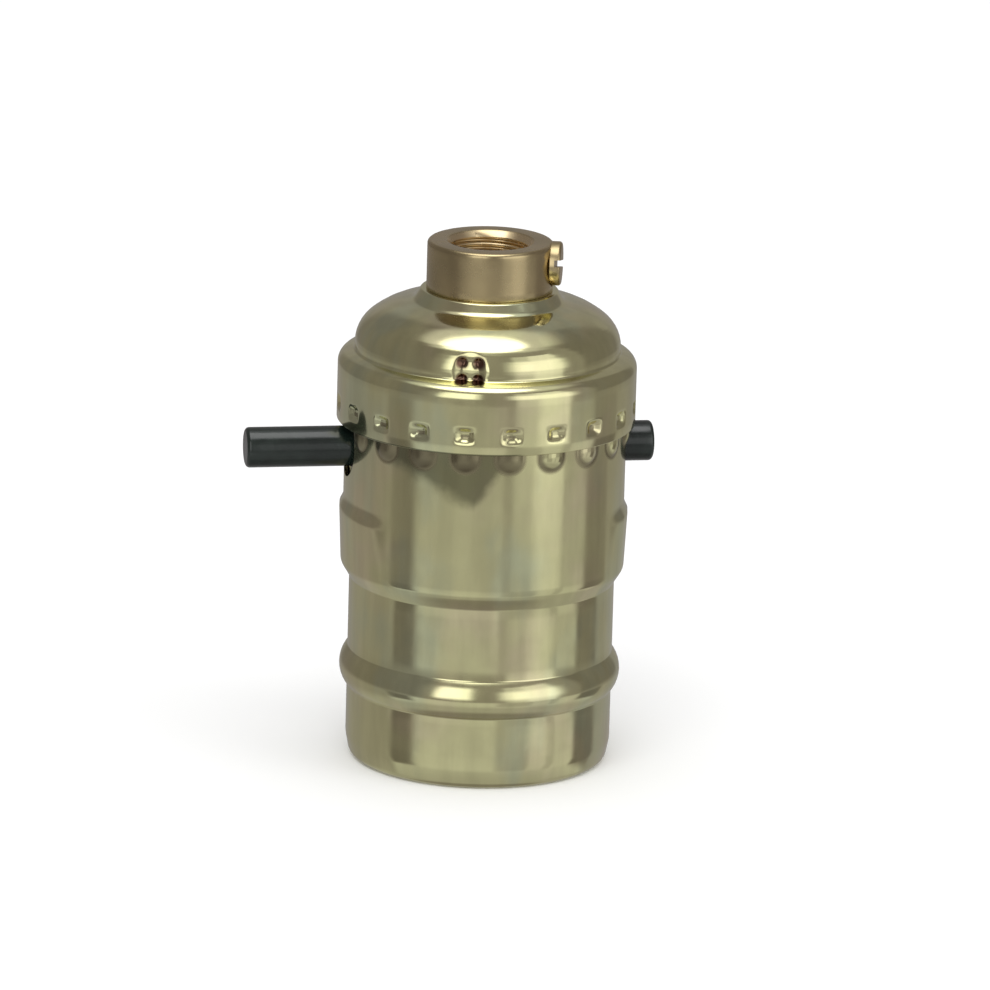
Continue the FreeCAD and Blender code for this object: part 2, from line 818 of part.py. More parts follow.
def make_contact_buttons():
    """Two silver buttons set in the fixed contacts, standing up through the barrier."""
    top_z = base_top_z + contact_button_height
    buttons = []
    for x, y in contact_places():
        head = disc(contact_button_radius, base_top_z, top_z, x, y)
        stem = disc(contact_stem_radius, foot_z, base_top_z, x, y)
        buttons.append(head.fuse(stem).removeSplitter())
    return Part.makeCompound(buttons)


def terminal_screw(side):
    """Wire screw of one terminal, head outwards."""
    tip = terminal_outer_y - terminal_screw_length
    shape = slotted_screw(
        terminal_screw_radius, terminal_screw_head_radius, tip, terminal_outer_y,
        terminal_screw_head_height, terminal_screw_chamfer)
    shape.rotate(ORIGIN, ALONG, -90 * side)
    shape.translate(UP * terminal_screw_z)
    return shape


def moulding(bottom_z, top_z, radius):
    """Round moulding with the holes that every layer of the stack has for the long rivets."""
    return disc(radius, bottom_z, top_z).cut(rivet_holes())


def terminal_rooms(bottom_z, top_z):
    """Recesses in the round sides, which the terminals stand in."""
    half = terminal_half_width + terminal_room
    rooms = []
    for side in (1, -1):
        low, high = sorted((side * terminal_face_y, side * BEYOND))
        rooms.append(block((-half, half), (low, high), (bottom_z, top_z)))
    return rooms


def rivet_head_rooms():
    """Rooms in the body's underside over the heads of the shell rivets."""
    radius = shell_rivet_head_radius + rivet_clearance
    top_z = base_top_z + shell_rivet_head_height + rivet_clearance
    return [disc(radius, base_bottom_z, top_z, x, y) for x, y in shell_rivet_places]


def make_switch_body():
    """Moulded block: rod bore, side bosses, switch room below, spring room above."""
    body = moulding(body_bottom_z, body_top_z, moulding_radius)
    boss = rod_along_x(boss_radius, -boss_end_radius, boss_end_radius, rod_z)
    body = body.fuse(boss.common(disc(boss_end_radius, 0, BEYOND))).removeSplitter()
    length = (-switch_room_half_length, switch_room_half_length)
    width = (-switch_room_half_width, switch_room_half_width)
    nut_room = Part.makeCylinder(
        terminal_screw_radius + rivet_clearance, BEYOND, Vector(0, -BEYOND / 2, terminal_screw_z), ACROSS)
    keep = terminal_outer_y - terminal_screw_length - terminal_room
    solid_middle = block((-BEYOND, BEYOND), (-keep, keep), (0, BEYOND))
    spring_width = (-spring_room_half_width, spring_room_half_width)
    cuts = [
        rod_along_x(rod_bore_radius, -BEYOND / 2, BEYOND / 2, rod_z),
        block(length, width, (0, rod_z)),
        block((spring_room_start, leaf_bend_x), spring_width, (rod_z, BEYOND)),
        block((leaf_bend_x - leaf_nose_round, spring_room_end), spring_width,
              (body_top_z - spring_drop(), BEYOND)),
        nut_room.cut(solid_middle),
    ]
    return body.cut(cuts + terminal_rooms(0, BEYOND) + rivet_head_rooms())


def spring_drop():
    """Depth of the shallow room for the leaf's riveted end."""
    return leaf_thickness + leaf_rivet_head_height + rivet_clearance


def make_switch_cover():
    """Fibre cover over the spring room, cut away over the terminals."""
    cover = moulding(body_top_z, cover_top_z, moulding_radius - cover_margin)
    hole = disc(leaf_rivet_radius, 0, BEYOND, leaf_rivet_x)
    return cover.cut([hole] + terminal_rooms(0, BEYOND))


def make_barrier():
    """Fibre sheet between body and base, with windows for the contacts and rivet heads."""
    sheet = moulding(base_top_z, body_bottom_z, moulding_radius - cover_margin)
    windows = rivet_head_rooms() + terminal_rooms(0, BEYOND)
    windows += [
        disc(contact_button_radius + rivet_clearance, 0, BEYOND, x, y) for x, y in contact_places()]
    windows.append(disc(centre_rivet_head_radius + rivet_clearance, 0, BEYOND, centre_rivet_x))
    return sheet.cut(windows)


def make_switch_base():
    """Lower moulding: rooms for the contact feet on top, nose through the lampholder below."""
    base = moulding(base_bottom_z, base_top_z, moulding_radius)
    base = base.fuse(disc(base_nose_radius, nose_z, base_top_z)).removeSplitter()
    room_radius = body_rivet_head_radius + rivet_clearance
    head_room_z = base_bottom_z + body_rivet_head_height + rivet_clearance
    cuts = [neutral_foot(rivet_clearance), hot_foot(rivet_clearance), load_strip(rivet_clearance)]
    cuts += [disc(room_radius, 0, head_room_z, x, y) for x, y in body_rivet_places()]
    cuts += [disc(shell_rivet_radius, 0, BEYOND, x, y) for x, y in shell_rivet_places]
    cuts += terminal_rooms(foot_z, BEYOND)
    cuts.append(disc(centre_rivet_radius, 0, BEYOND, centre_rivet_x))
    return base.cut(cuts)


def make_body_rivets():
    """Two long rivets from the cover down into the base."""
    low_z = base_bottom_z + body_rivet_head_height + rivet_clearance
    return Part.makeCompound([
        rivet(x, y, body_rivet_radius, body_rivet_head_radius, low_z, cover_top_z,
              body_rivet_head_height)
        for x, y in body_rivet_places()])


def thread_ridge(crest_radius, root_radius, half_width, start_angle, turns):
    """Helical ridge with sloping flanks that stands out from a tube of root_radius."""
    start_z = holder_mouth_z + thread_pitch / 2
    path = Part.makeHelix(thread_pitch, thread_pitch * turns, root_radius)
    inner = root_radius - thread_overlap
    flat = half_width * thread_crest_share
    section = Part.makePolygon([
        Vector(inner, 0, -half_width),
        Vector(crest_radius, 0, -flat),
        Vector(crest_radius, 0, flat),
        Vector(inner, 0, half_width),
        Vector(inner, 0, -half_width),
    ])
    ridge = path.makePipeShell([section], True, True)
    ridge.rotate(ORIGIN, UP, start_angle)
    ridge.translate(UP * (start_z + thread_pitch * start_angle / 360))
    return ridge


def make_screw_shell():
    """Rolled threaded lampholder shell, closed by a plate under the base."""
    top_z = base_bottom_z
    outer_root = thread_crest_radius + holder_wall
    outer_crest = thread_root_radius + holder_wall
    outer = turned([
        (0, holder_mouth_z, 0),
        (outer_root, holder_mouth_z, 0),
        (outer_root, top_z - holder_bevel, 0),
        (outer_root - holder_bevel, top_z, 0),
        (0, top_z, 0),
    ])
    inner = turned([
        (0, holder_mouth_z - holder_wall, 0),
        (thread_crest_radius, holder_mouth_z - holder_wall, 0),
        (thread_crest_radius, top_z - holder_bevel - holder_wall / 2, 0),
        (outer_root - holder_bevel - holder_wall / 2, top_z - holder_wall, 0),
        (0, top_z - holder_wall, 0),
    ])
    outer_ridge = thread_ridge(outer_crest, outer_root, thread_half_width, 0, thread_turns)
    short = thread_turns - 2 * thread_end_angle / 360
    inner_ridge = thread_ridge(
        thread_root_radius, thread_crest_radius,
        thread_half_width - holder_wall / 2, thread_end_angle, short)
    shell = outer.fuse(outer_ridge).cut(inner.fuse(inner_ridge))
    holes = [disc(shell_rivet_radius, 0, BEYOND, x, y) for x, y in shell_rivet_places]
    holes.append(disc(base_nose_radius + holder_hole_clearance, 0, BEYOND))
    return shell.cut(holes)


def make_shell_rivets():
    """Rivets that hold the lampholder shell, one also through the neutral foot."""
    low_z = base_bottom_z - holder_wall
    return Part.makeCompound([
        rivet(x, y, shell_rivet_radius, shell_rivet_head_radius, low_z, base_top_z,
              shell_rivet_head_height)
        for x, y in shell_rivet_places])


def make_centre_contact():
    """Springy tongue on the base's nose, bent down to meet the lamp's tip."""
    low_z = nose_z - tongue_thickness
    bend_x = centre_rivet_x + centre_rivet_head_radius + tongue_bend_room
    path = [
        (tongue_start_x, low_z, 0),
        (bend_x, low_z, tongue_round),
        (tongue_tip_x, low_z - tongue_drop, tongue_round),
        (tongue_end_x, low_z - tongue_drop + tongue_end_rise, 0),
    ]
    tongue = strip(path, tongue_thickness, tongue_width)
    return tongue.cut(disc(centre_rivet_radius, 0, BEYOND, centre_rivet_x))


def make_centre_rivet():
    """Rivet that joins the centre contact to the load strip through the base."""
    return rivet(
        centre_rivet_x, 0, centre_rivet_radius, centre_rivet_head_radius,
        nose_z - tongue_thickness, base_top_z, centre_rivet_head_height)


PARTS = {
    "cap": make_cap,
    "hub": make_hub,
    "hub_set_screw": make_set_screw,
    "cap_liner": make_cap_liner,
    "shell": make_shell,
    "shell_liner": make_shell_liner,
    "push_rod": make_push_rod,
    "contact_wiper": make_wiper,
    "wiper_pin": make_wiper_pin,
    "switch_body": make_switch_body,
    "switch_cover": make_switch_cover,
    "contact_barrier": make_barrier,
    "switch_base": make_switch_base,
    "body_rivets": make_body_rivets,
    "detent_spring": make_detent_spring,
    "detent_rivet": make_detent_rivet,
    "neutral_terminal": make_neutral_terminal,
    "neutral_screw": lambda: terminal_screw(1),
    "hot_terminal": make_hot_terminal,
    "hot_screw": lambda: terminal_screw(-1),
    "load_contact": make_load_contact,
    "contact_buttons": make_contact_buttons,
    "screw_shell": make_screw_shell,
    "shell_rivets": make_shell_rivets,
    "centre_contact": make_centre_contact,
    "centre_rivet": make_centre_rivet,
}

os.makedirs("parts", exist_ok=True)
for name, make in PARTS.items():
    solid = make()
    solid.exportStep(f"parts/{name}.step")
    print(name, solid.isValid(), len(solid.Solids), round(solid.Volume, 2), flush=True)
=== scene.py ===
"""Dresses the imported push-through lamp socket: brass skin, hub, rod, liners and lampholder.

Sizes are millimetres in the sub-assembly classes and metres in Blender, in the frame's own axes:
the origin at the centre of the shell's rim, +Z up to the hub, the push rod along X.
"""

import json
import logging
import math
from dataclasses import dataclass, field
from enum import Enum
from functools import partial, reduce
from typing import Callable, Optional, Sequence, Union

import bmesh
import bpy
from mathutils import Matrix, Vector


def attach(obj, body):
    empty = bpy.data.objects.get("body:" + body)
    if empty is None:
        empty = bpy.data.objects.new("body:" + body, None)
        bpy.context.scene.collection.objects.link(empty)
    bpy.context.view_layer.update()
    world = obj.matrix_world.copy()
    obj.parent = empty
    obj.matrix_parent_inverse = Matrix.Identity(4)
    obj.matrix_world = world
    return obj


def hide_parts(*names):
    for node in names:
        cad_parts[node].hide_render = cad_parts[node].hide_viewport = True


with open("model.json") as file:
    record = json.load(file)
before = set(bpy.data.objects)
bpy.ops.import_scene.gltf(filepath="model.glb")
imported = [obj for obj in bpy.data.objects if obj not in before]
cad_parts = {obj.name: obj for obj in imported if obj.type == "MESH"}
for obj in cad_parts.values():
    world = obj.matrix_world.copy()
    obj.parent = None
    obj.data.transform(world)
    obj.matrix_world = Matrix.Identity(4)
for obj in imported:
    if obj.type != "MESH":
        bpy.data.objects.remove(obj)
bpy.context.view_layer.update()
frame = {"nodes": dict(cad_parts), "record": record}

MM = 0.001
MERGE_DISTANCE = 0.000001
SHARP_TURN = math.radians(50.0)
QUARTER_TURN = math.radians(90.0)
LEAST_ROUND = 0.125
LONGEST_STEP = 1.3
CENTRE = 0.02
CLEAR = 1.0
ARC_TURN = math.radians(9.0)
ARC_LENGTH = 0.06
LOG = logging.getLogger("lamp_socket")

Point = tuple[float, float]
Span = tuple[float, float]
Triple = tuple[float, float, float]
Socket = bpy.types.NodeSocket
Value = Union[float, int, Socket]
Mesh = bpy.types.Mesh
Object = bpy.types.Object
Material = bpy.types.Material


class Body(Enum):
    """The two rigid bodies that pieces ride on."""

    SOCKET = "socket"
    ROD = "switch_rod"


class Slot(Enum):
    """Material slots of the record that new pieces take."""

    SHEET = "brass_sheet"
    TURNED = "turned_brass"
    CONTACT = "contact_brass"
    NICKEL = "nickel_plate"
    SILVER = "silver_contact"
    HOLDER = "lampholder_metal"
    FIBRE = "fibre"
    BROWN = "brown_moulding"
    BLACK = "black_moulding"


def unit(start: Sequence[float], end: Sequence[float]) -> Point:
    """Direction between two (radius, height) points, as a pair of length 1."""
    run = math.hypot(end[0] - start[0], end[1] - start[1])
    return ((end[0] - start[0]) / run, (end[1] - start[1]) / run)


def offset_path(corners: Sequence[Triple], distance: float) -> list[Triple]:
    """Moves an open outline to its left and keeps its rounds concentric.

    Args:
        corners: (radius, height, round) corners in order.
        distance: how far to move, in the corners' unit.

    Returns:
        The moved corners.
    """
    moved = []
    last = len(corners) - 1
    for index, (r, z, radius) in enumerate(corners):
        before = unit(corners[max(index - 1, 0)], corners[max(index, 1)])
        after = unit(corners[min(index, last - 1)], corners[min(index + 1, last)])
        turn = before[0] * after[1] - before[1] * after[0]
        share = distance / (1 + before[0] * after[0] + before[1] * after[1])
        if radius:
            radius = max(radius - math.copysign(distance, turn), radius * LEAST_ROUND)
        moved.append((r - share * (before[1] + after[1]), z + share * (before[0] + after[0]), radius))
    return moved


def rounded(corners: Sequence[Triple]) -> list[Point]:
    """Turns a closed outline with rounds into points along it.

    Args:
        corners: (radius, height, round) corners in order, closed by itself.

    Returns:
        Points of the outline, without the closing one.
    """
    points: list[Point] = []
    count = len(corners)
    for index, (r, z, radius) in enumerate(corners):
        if not radius:
            points.append((r, z))
            continue
        back = Vector(unit((r, z), corners[index - 1]))
        ahead = Vector(unit((r, z), corners[(index + 1) % count]))
        half = back.angle(ahead) / 2
        reach = radius / math.tan(half)
        bisector = (back + ahead).normalized()
        centre = Vector((r, z)) + bisector * (radius / math.sin(half))
        first = Vector((r, z)) + back * reach - centre
        final = Vector((r, z)) + ahead * reach - centre
        sweep = first.angle_signed(final)
        arc_steps = max(2, math.ceil(min(abs(sweep) / ARC_TURN, abs(sweep) * radius / ARC_LENGTH)))
        for step in range(arc_steps + 1):
            turn = Matrix.Rotation(-sweep * step / arc_steps, 2)
            points.append(tuple(centre + turn @ first))
    return points


def divided(points: Sequence[Point], step: Callable[[float, float], float]) -> list[Point]:
    """Divides the long stretches of a closed outline.

    Args:
        points: outline points without the closing one.
        step: longest stretch allowed at a (radius, height).

    Returns:
        Denser points, with the first one repeated at the end.
    """
    dense = []
    for index, start in enumerate(points):
        end = points[(index + 1) % len(points)]
        here = start
        dense.append(here)
        while True:
            left = math.hypot(end[0] - here[0], end[1] - here[1])
            size = step(*here)
            if left <= size * LONGEST_STEP:
                break
            share = size / left
            here = (here[0] + (end[0] - here[0]) * share, here[1] + (end[1] - here[1]) * share)
            dense.append(here)
    return dense + [dense[0]]


class Graph:
    """A node tree with short ways to add, join and measure nodes."""

    def __init__(self, tree: bpy.types.NodeTree) -> None:
        """Wraps a tree.

        Args:
            tree: the geometry or shader tree to fill.
        """
        self.tree = tree

    def node(self, kind: str, inputs: Optional[dict] = None, **settings: object) -> bpy.types.Node:
        """Adds a node.

        Args:
            kind: the node's type name.
            inputs: input name or index to a value or to the socket that feeds it.
            settings: attributes of the node itself.

        Returns:
            The new node.
        """
        node = self.tree.nodes.new(kind)
        for name, value in settings.items():
            setattr(node, name, value)
        for key, value in (inputs or {}).items():
            self.join(node.inputs[key], value)
        return node

    def join(self, entry: Socket, value: object) -> None:
        """Feeds an input, or sets it to a value.

        Args:
            entry: the input.
            value: the socket that feeds it, or its value.
        """
        if isinstance(value, Socket):
            self.tree.links.new(value, entry)
        else:
            entry.default_value = value

    def math(self, operation: str, *values: Value) -> Socket:
        """Adds one Math node and returns its result."""
        return self.node("ShaderNodeMath", dict(enumerate(values)), operation=operation).outputs[0]

    def product(self, *values: Value) -> Socket:
        """Multiplies two or more values."""
        return reduce(partial(self.math, "MULTIPLY"), values)

    def gap(self, first: Value, second: Value) -> Socket:
        """How far two values lie apart."""
        return self.math("ABSOLUTE", self.math("SUBTRACT", first, second))

    def length(self, across: Socket, up: Socket) -> Socket:
        """Length of two distances at right angles."""
        return self.math("SQRT", self.math("ADD", self.product(across, across), self.product(up, up)))

    def ramp(self, value: Value, start: Value, end: Value, low: Value = 0.0, high: Value = 1.0,
             smooth: bool = True) -> Socket:
        """Maps a value between two limits, clamped.

        Args:
            value: what to map.
            start: where the ramp starts.
            end: where it ends.
            low: result at the start.
            high: result at the end.
            smooth: whether the ramp eases in and out.

        Returns:
            The mapped value.
        """
        kind = "SMOOTHSTEP" if smooth else "LINEAR"
        node = self.node("ShaderNodeMapRange", interpolation_type=kind)
        for name, item in zip(("Value", "From Min", "From Max", "To Min", "To Max"),
                              (value, start, end, low, high)):
            self.join(node.inputs[name], item)
        return node.outputs["Result"]

    def blend(self, factor: Socket, first: Union[Triple, Socket], second: Union[Triple, Socket]
              ) -> Socket:
        """Mixes two colours.

        Args:
            factor: share of the second colour.
            first: colour where the factor is 0.
            second: colour where it is 1.

        Returns:
            The mixed colour.
        """
        node = self.node("ShaderNodeMix", data_type="RGBA")
        for key, value in (("Factor", factor), ("A", first), ("B", second)):
            socket = [item for item in node.inputs if item.name == key and item.enabled][0]
            self.join(socket, value if isinstance(value, Socket) else (*value, 1.0))
        return [item for item in node.outputs if item.enabled][0]


class ShapeTree(Graph):
    """A Geometry Nodes tree whose sizes are named inputs."""

    def __init__(self, name: str) -> None:
        """Starts an empty tree with a geometry input and output.

        Args:
            name: name of the tree.
        """
        super().__init__(bpy.data.node_groups.new(name, "GeometryNodeTree"))
        self.sizes: dict[str, float] = {}
        face = self.tree.interface
        face.new_socket("Geometry", in_out="INPUT", socket_type="NodeSocketGeometry")
        face.new_socket("Geometry", in_out="OUTPUT", socket_type="NodeSocketGeometry")
        self.entry = self.tree.nodes.new("NodeGroupInput")
        self.exit = self.tree.nodes.new("NodeGroupOutput")

    def size(self, label: str, value: Union[float, int]) -> Socket:
        """Adds a named input and returns its socket.

        Args:
            label: plain name of the size.
            value: its value, in metres, degrees or a count.

        Returns:
            The socket that gives the size inside the tree.
        """
        kind = "NodeSocketInt" if isinstance(value, int) else "NodeSocketFloat"
        socket = self.tree.interface.new_socket(label, in_out="INPUT", socket_type=kind)
        socket.default_value = value
        self.sizes[socket.identifier] = value
        return self.entry.outputs[label]

    def finish(self, geometry: Socket, material: Material) -> None:
        """Ends the tree: real geometry, smooth faces and the material.

        Args:
            geometry: the shape.
            material: its finish.
        """
        real = self.node("GeometryNodeRealizeInstances", {"Geometry": geometry})
        smooth = self.node("GeometryNodeSetShadeSmooth", {"Geometry": real.outputs[0]})
        dressed = self.node("GeometryNodeSetMaterial", {"Geometry": smooth.outputs[0],
                                                        "Material": material})
        self.tree.links.new(dressed.outputs[0], self.exit.inputs[0])

    def grow(self, obj: Object) -> None:
        """Runs the tree on an object and keeps the plain mesh that it makes.

        Args:
            obj: mesh object whose vertices the tree reads.
        """
        modifier = obj.modifiers.new("shape", "NODES")
        modifier.node_group = self.tree
        for identifier, value in self.sizes.items():
            modifier[identifier] = value
        bake_modifiers(obj)


def bake_modifiers(obj: Object) -> None:
    """Replaces an object's mesh by its evaluated mesh and removes its modifiers.

    Args:
        obj: the mesh object.
    """
    bpy.context.view_layer.update()
    evaluated = obj.evaluated_get(bpy.context.evaluated_depsgraph_get())
    mesh = bpy.data.meshes.new_from_object(evaluated)
    old = obj.data
    obj.modifiers.clear()
    obj.data = mesh
    bpy.data.meshes.remove(old)


def new_object(name: str, mesh: Mesh) -> Object:
    """Links a new mesh object at the origin.

    Args:
        name: name of the object.
        mesh: its mesh.

    Returns:
        The object.
    """
    obj = bpy.data.objects.new(name, mesh)
    bpy.context.scene.collection.objects.link(obj)
    return obj


def outline_object(name: str, points: Sequence[Point]) -> Object:
    """Makes an object whose vertices are an outline in the XZ plane, in metres.

    Args:
        name: name of the object.
        points: (radius, height) outline in millimetres.

    Returns:
        The object.
    """
    mesh = bpy.data.meshes.new(name)
    mesh.from_pydata([(r * MM, 0.0, z * MM) for r, z in points], [], [])
    return new_object(name, mesh)


@dataclass(frozen=True)
class Noise:
    """Noise on an object's own coordinates: waves in a metre, octaves, squeeze and used span."""

    scale: float
    detail: float
    stretch: Triple = (1.0, 1.0, 1.0)
    span: Span = (0.0, 1.0)


class Shading(Graph):
    """A material's node tree with its principled shader at hand."""

    def __init__(self, name: str) -> None:
        """Starts a material.

        Args:
            name: name of the finish.
        """
        self.material = bpy.data.materials.new(name)
        self.material.use_nodes = True
        super().__init__(self.material.node_tree)
        self.shader = self.tree.nodes["Principled BSDF"]
        self.place = self.node("ShaderNodeTexCoord").outputs["Object"]

    def noise(self, noise: Noise) -> Socket:
        """Adds noise.

        Args:
            noise: its settings.

        Returns:
            The noise value.
        """
        place = self.node("ShaderNodeVectorMath", {0: self.place, 1: noise.stretch}, operation="MULTIPLY")
        return self.node("ShaderNodeTexNoise", {
            "Vector": place.outputs[0], "Scale": noise.scale, "Detail": noise.detail}).outputs["Fac"]

    def cloud(self, noise: Noise, low: float = 0.0, high: float = 1.0) -> Socket:
        """Adds noise whose used span runs from one value to another."""
        return self.ramp(self.noise(noise), *noise.span, low, high)

    def bump(self, height: Socket, distance: float, under: Optional[Socket] = None) -> Socket:
        """Adds a bump.

        Args:
            height: the relief, from 0 to 1.
            distance: its height in metres.
            under: normal of the relief that it lies on.

        Returns:
            The bump's normal.
        """
        inputs = {"Height": height, "Distance": distance, "Strength": 1.0}
        if under is not None:
            inputs["Normal"] = under
        return self.node("ShaderNodeBump", inputs).outputs["Normal"]

    def feed(self, name: str, value: object) -> None:
        """Sets or links one input of the shader."""
        self.join(self.shader.inputs[name], value)


@dataclass(frozen=True)
class Place:
    """Point of a turned wall: its angle in radians, its height and its radius in metres."""

    angle: Socket
    height: Socket
    radius: Socket

    @classmethod
    def shaded(cls, shading: Shading) -> "Place":
        """Point that a material colours."""
        x, y, z = shading.node("ShaderNodeSeparateXYZ", {0: shading.place}).outputs
        return cls(shading.math("ARCTAN2", y, x), z, shading.length(x, y))

    def across(self, tree: Graph, places: Value, phase: float) -> Socket:
        """Distance round the wall from the nearest of several equal places.

        Args:
            tree: the tree to add to.
            places: number of places round the wall.
            phase: angle of one of them, in degrees.

        Returns:
            The distance along the wall, in metres.
        """
        turned = tree.math("SUBTRACT", self.angle, math.radians(phase))
        pitch = tree.math("DIVIDE", math.tau, places)
        nearest = tree.product(tree.math("ROUND", tree.math("DIVIDE", turned, pitch)), pitch)
        return tree.product(tree.gap(turned, nearest), self.radius)

    def from_height(self, tree: Graph, middle_z: float) -> Socket:
        """Distance above or below a height that is given in millimetres."""
        return tree.gap(self.height, middle_z * MM)


@dataclass(frozen=True)
class Marks:
    """Base of the rules that move a turned wall in or out."""

    def offset(self, tree: ShapeTree, at: Place) -> Socket:
        """Adds the rule's nodes.

        Args:
            tree: the turned piece's tree.
            at: the point of the wall.

        Returns:
            How far the wall moves outwards there, in metres.
        """
        raise NotImplementedError


@dataclass(frozen=True)
class Flutes(Marks):
    """Upright half-round flutes with round feet, pinched where the dents grip them."""

    places: int = 20
    phase: float = 90.0
    ball: float = 2.7
    height: float = 0.52
    foot_z: float = 40.3
    pinch_z: float = 43.3
    pinch_half: float = 1.1
    pinch_ease: float = 0.35
    wall: float = 16.55
    wall_reach: float = 0.572
    # widths of the painted shade ring in the crease round each foot, and azimuths up to which whole flutes
    # get painted shade
    flute_shade: Span = (0.12, 0.6)
    shaded_until: Span = (-86.0, -78.0)

    def offset(self, tree: ShapeTree, at: Place) -> Socket:
        """Adds the flutes.

        Args:
            tree: the turned piece's tree.
            at: the point of the wall.

        Returns:
            How far the wall moves outwards there, in metres.
        """
        places = tree.size("Flute places", self.places)
        ball = tree.size("Flute ball radius", self.ball * MM)
        rise = tree.size("Flute height", self.height * MM)
        foot = tree.size("Flute foot height", self.foot_z * MM)
        away = self.from_line(tree, at, places, foot)
        pinch = tree.ramp(at.from_height(tree, self.pinch_z), self.pinch_half * MM,
                          (self.pinch_half + self.pinch_ease) * MM)
        return tree.product(self.bulge(tree, away, ball, rise), pinch)

    @staticmethod
    def bulge(tree: ShapeTree, away: Socket, ball: Socket, rise: Socket) -> Socket:
        """Height of a round cap cut from a ball, at a distance from its middle, and 0 beyond it.

        Args:
            tree: the turned piece's tree.
            away: distance from the cap's middle.
            ball: the ball's radius.
            rise: the cap's height.

        Returns:
            The height.
        """
        inside = tree.math("SUBTRACT", tree.product(ball, ball), tree.product(away, away))
        dome = tree.math("SQRT", tree.math("MAXIMUM", inside, 0.0))
        floor = tree.math("SUBTRACT", ball, rise)
        return tree.math("MAXIMUM", tree.math("SUBTRACT", dome, floor), 0.0)

    def from_line(self, tree: Graph, at: Place, places: Value, foot: Value) -> Socket:
        """Distance from the nearest flute's middle line, which ends at the foot's centre."""
        below = tree.math("MINIMUM", tree.math("SUBTRACT", at.height, foot), 0.0)
        return tree.length(at.across(tree, places, self.phase), below)

    def painted_shade(self, shading: Shading) -> Socket:
        """Adds painted shade at the flutes to a material: a dark ring in the crease round each foot, and
        whole flutes darkened on the front-left.

        Args:
            shading: the material's tree.

        Returns:
            Where the painted shade lies, from 0 to 1.
        """
        at = Place.shaded(shading)
        away = self.from_line(shading, at, self.places, self.foot_z * MM)
        edge = math.sqrt(self.ball ** 2 - (self.ball - self.height) ** 2) * MM
        near, far = (width * MM for width in self.flute_shade)
        ring = shading.ramp(shading.gap(away, edge), near, far, 1.0, 0.0)
        low, high = (math.radians(azimuth) for azimuth in self.shaded_until)
        whole = shading.product(shading.ramp(away, edge + near, edge + far, 1.0, 0.0),
                                shading.ramp(at.angle, low, high, 1.0, 0.0))
        below = shading.math("LESS_THAN", at.height, self.pinch_z * MM)
        outer = shading.math("LESS_THAN", shading.gap(at.radius, self.wall * MM), self.wall_reach * MM)
        return shading.product(shading.math("MAXIMUM", ring, whole), below, outer)


@dataclass(frozen=True)
class Dents(Marks):
    """Short soft dents pressed into a skirt."""

    places: int = 20
    phase: float = 90.0
    depth: float = 0.5
    middle_z: float = 43.3
    half_wide: Span = (0.3, 1.3)
    half_tall: Span = (0.25, 1.1)

    def offset(self, tree: ShapeTree, at: Place) -> Socket:
        """Adds the dents.

        Args:
            tree: the turned piece's tree.
            at: the point of the wall.

        Returns:
            How far the wall moves outwards there, in metres.
        """
        places = tree.size("Dent places", self.places)
        dent = tree.product(tree.size("Dent depth", self.depth * MM), -1.0)
        for away, (flat, end) in ((at.across(tree, places, self.phase), self.half_wide),
                                  (at.from_height(tree, self.middle_z), self.half_tall)):
            dent = tree.product(dent, tree.ramp(away, flat * MM, end * MM, 1.0, 0.0))
        return dent


@dataclass(frozen=True)
class SidePads(Marks):
    """Two shallow pads pressed out of the wall's sides, below the rod."""

    low_z: float = 21.9
    foot_z: float = 23.6
    crest_z: float = 30.3
    top_z: float = 31.5
    foot_rise: float = 0.15
    crest_rise: float = 0.45
    crest_half: float = 6.6
    foot_half: float = 11.0

    def offset(self, tree: ShapeTree, at: Place) -> Socket:
        """Adds the pads.

        Args:
            tree: the turned piece's tree.
            at: the point of the wall.

        Returns:
            How far the wall moves outwards there, in metres.
        """
        crest = tree.size("Pad height", self.crest_rise * MM)
        half = tree.size("Pad half width", self.crest_half * MM)
        along = tree.ramp(at.across(tree, 2, 0.0), half, self.foot_half * MM, 1.0, 0.0)
        start = tree.ramp(at.height, self.low_z * MM, self.foot_z * MM, 0.0, self.foot_rise * MM, False)
        rest = tree.math("SUBTRACT", crest, self.foot_rise * MM)
        slope = tree.ramp(at.height, self.foot_z * MM, self.crest_z * MM, 0.0, rest, False)
        end = tree.ramp(at.height, self.crest_z * MM, self.top_z * MM, 1.0, 0.0)
        return tree.product(tree.math("ADD", start, slope), end, along)


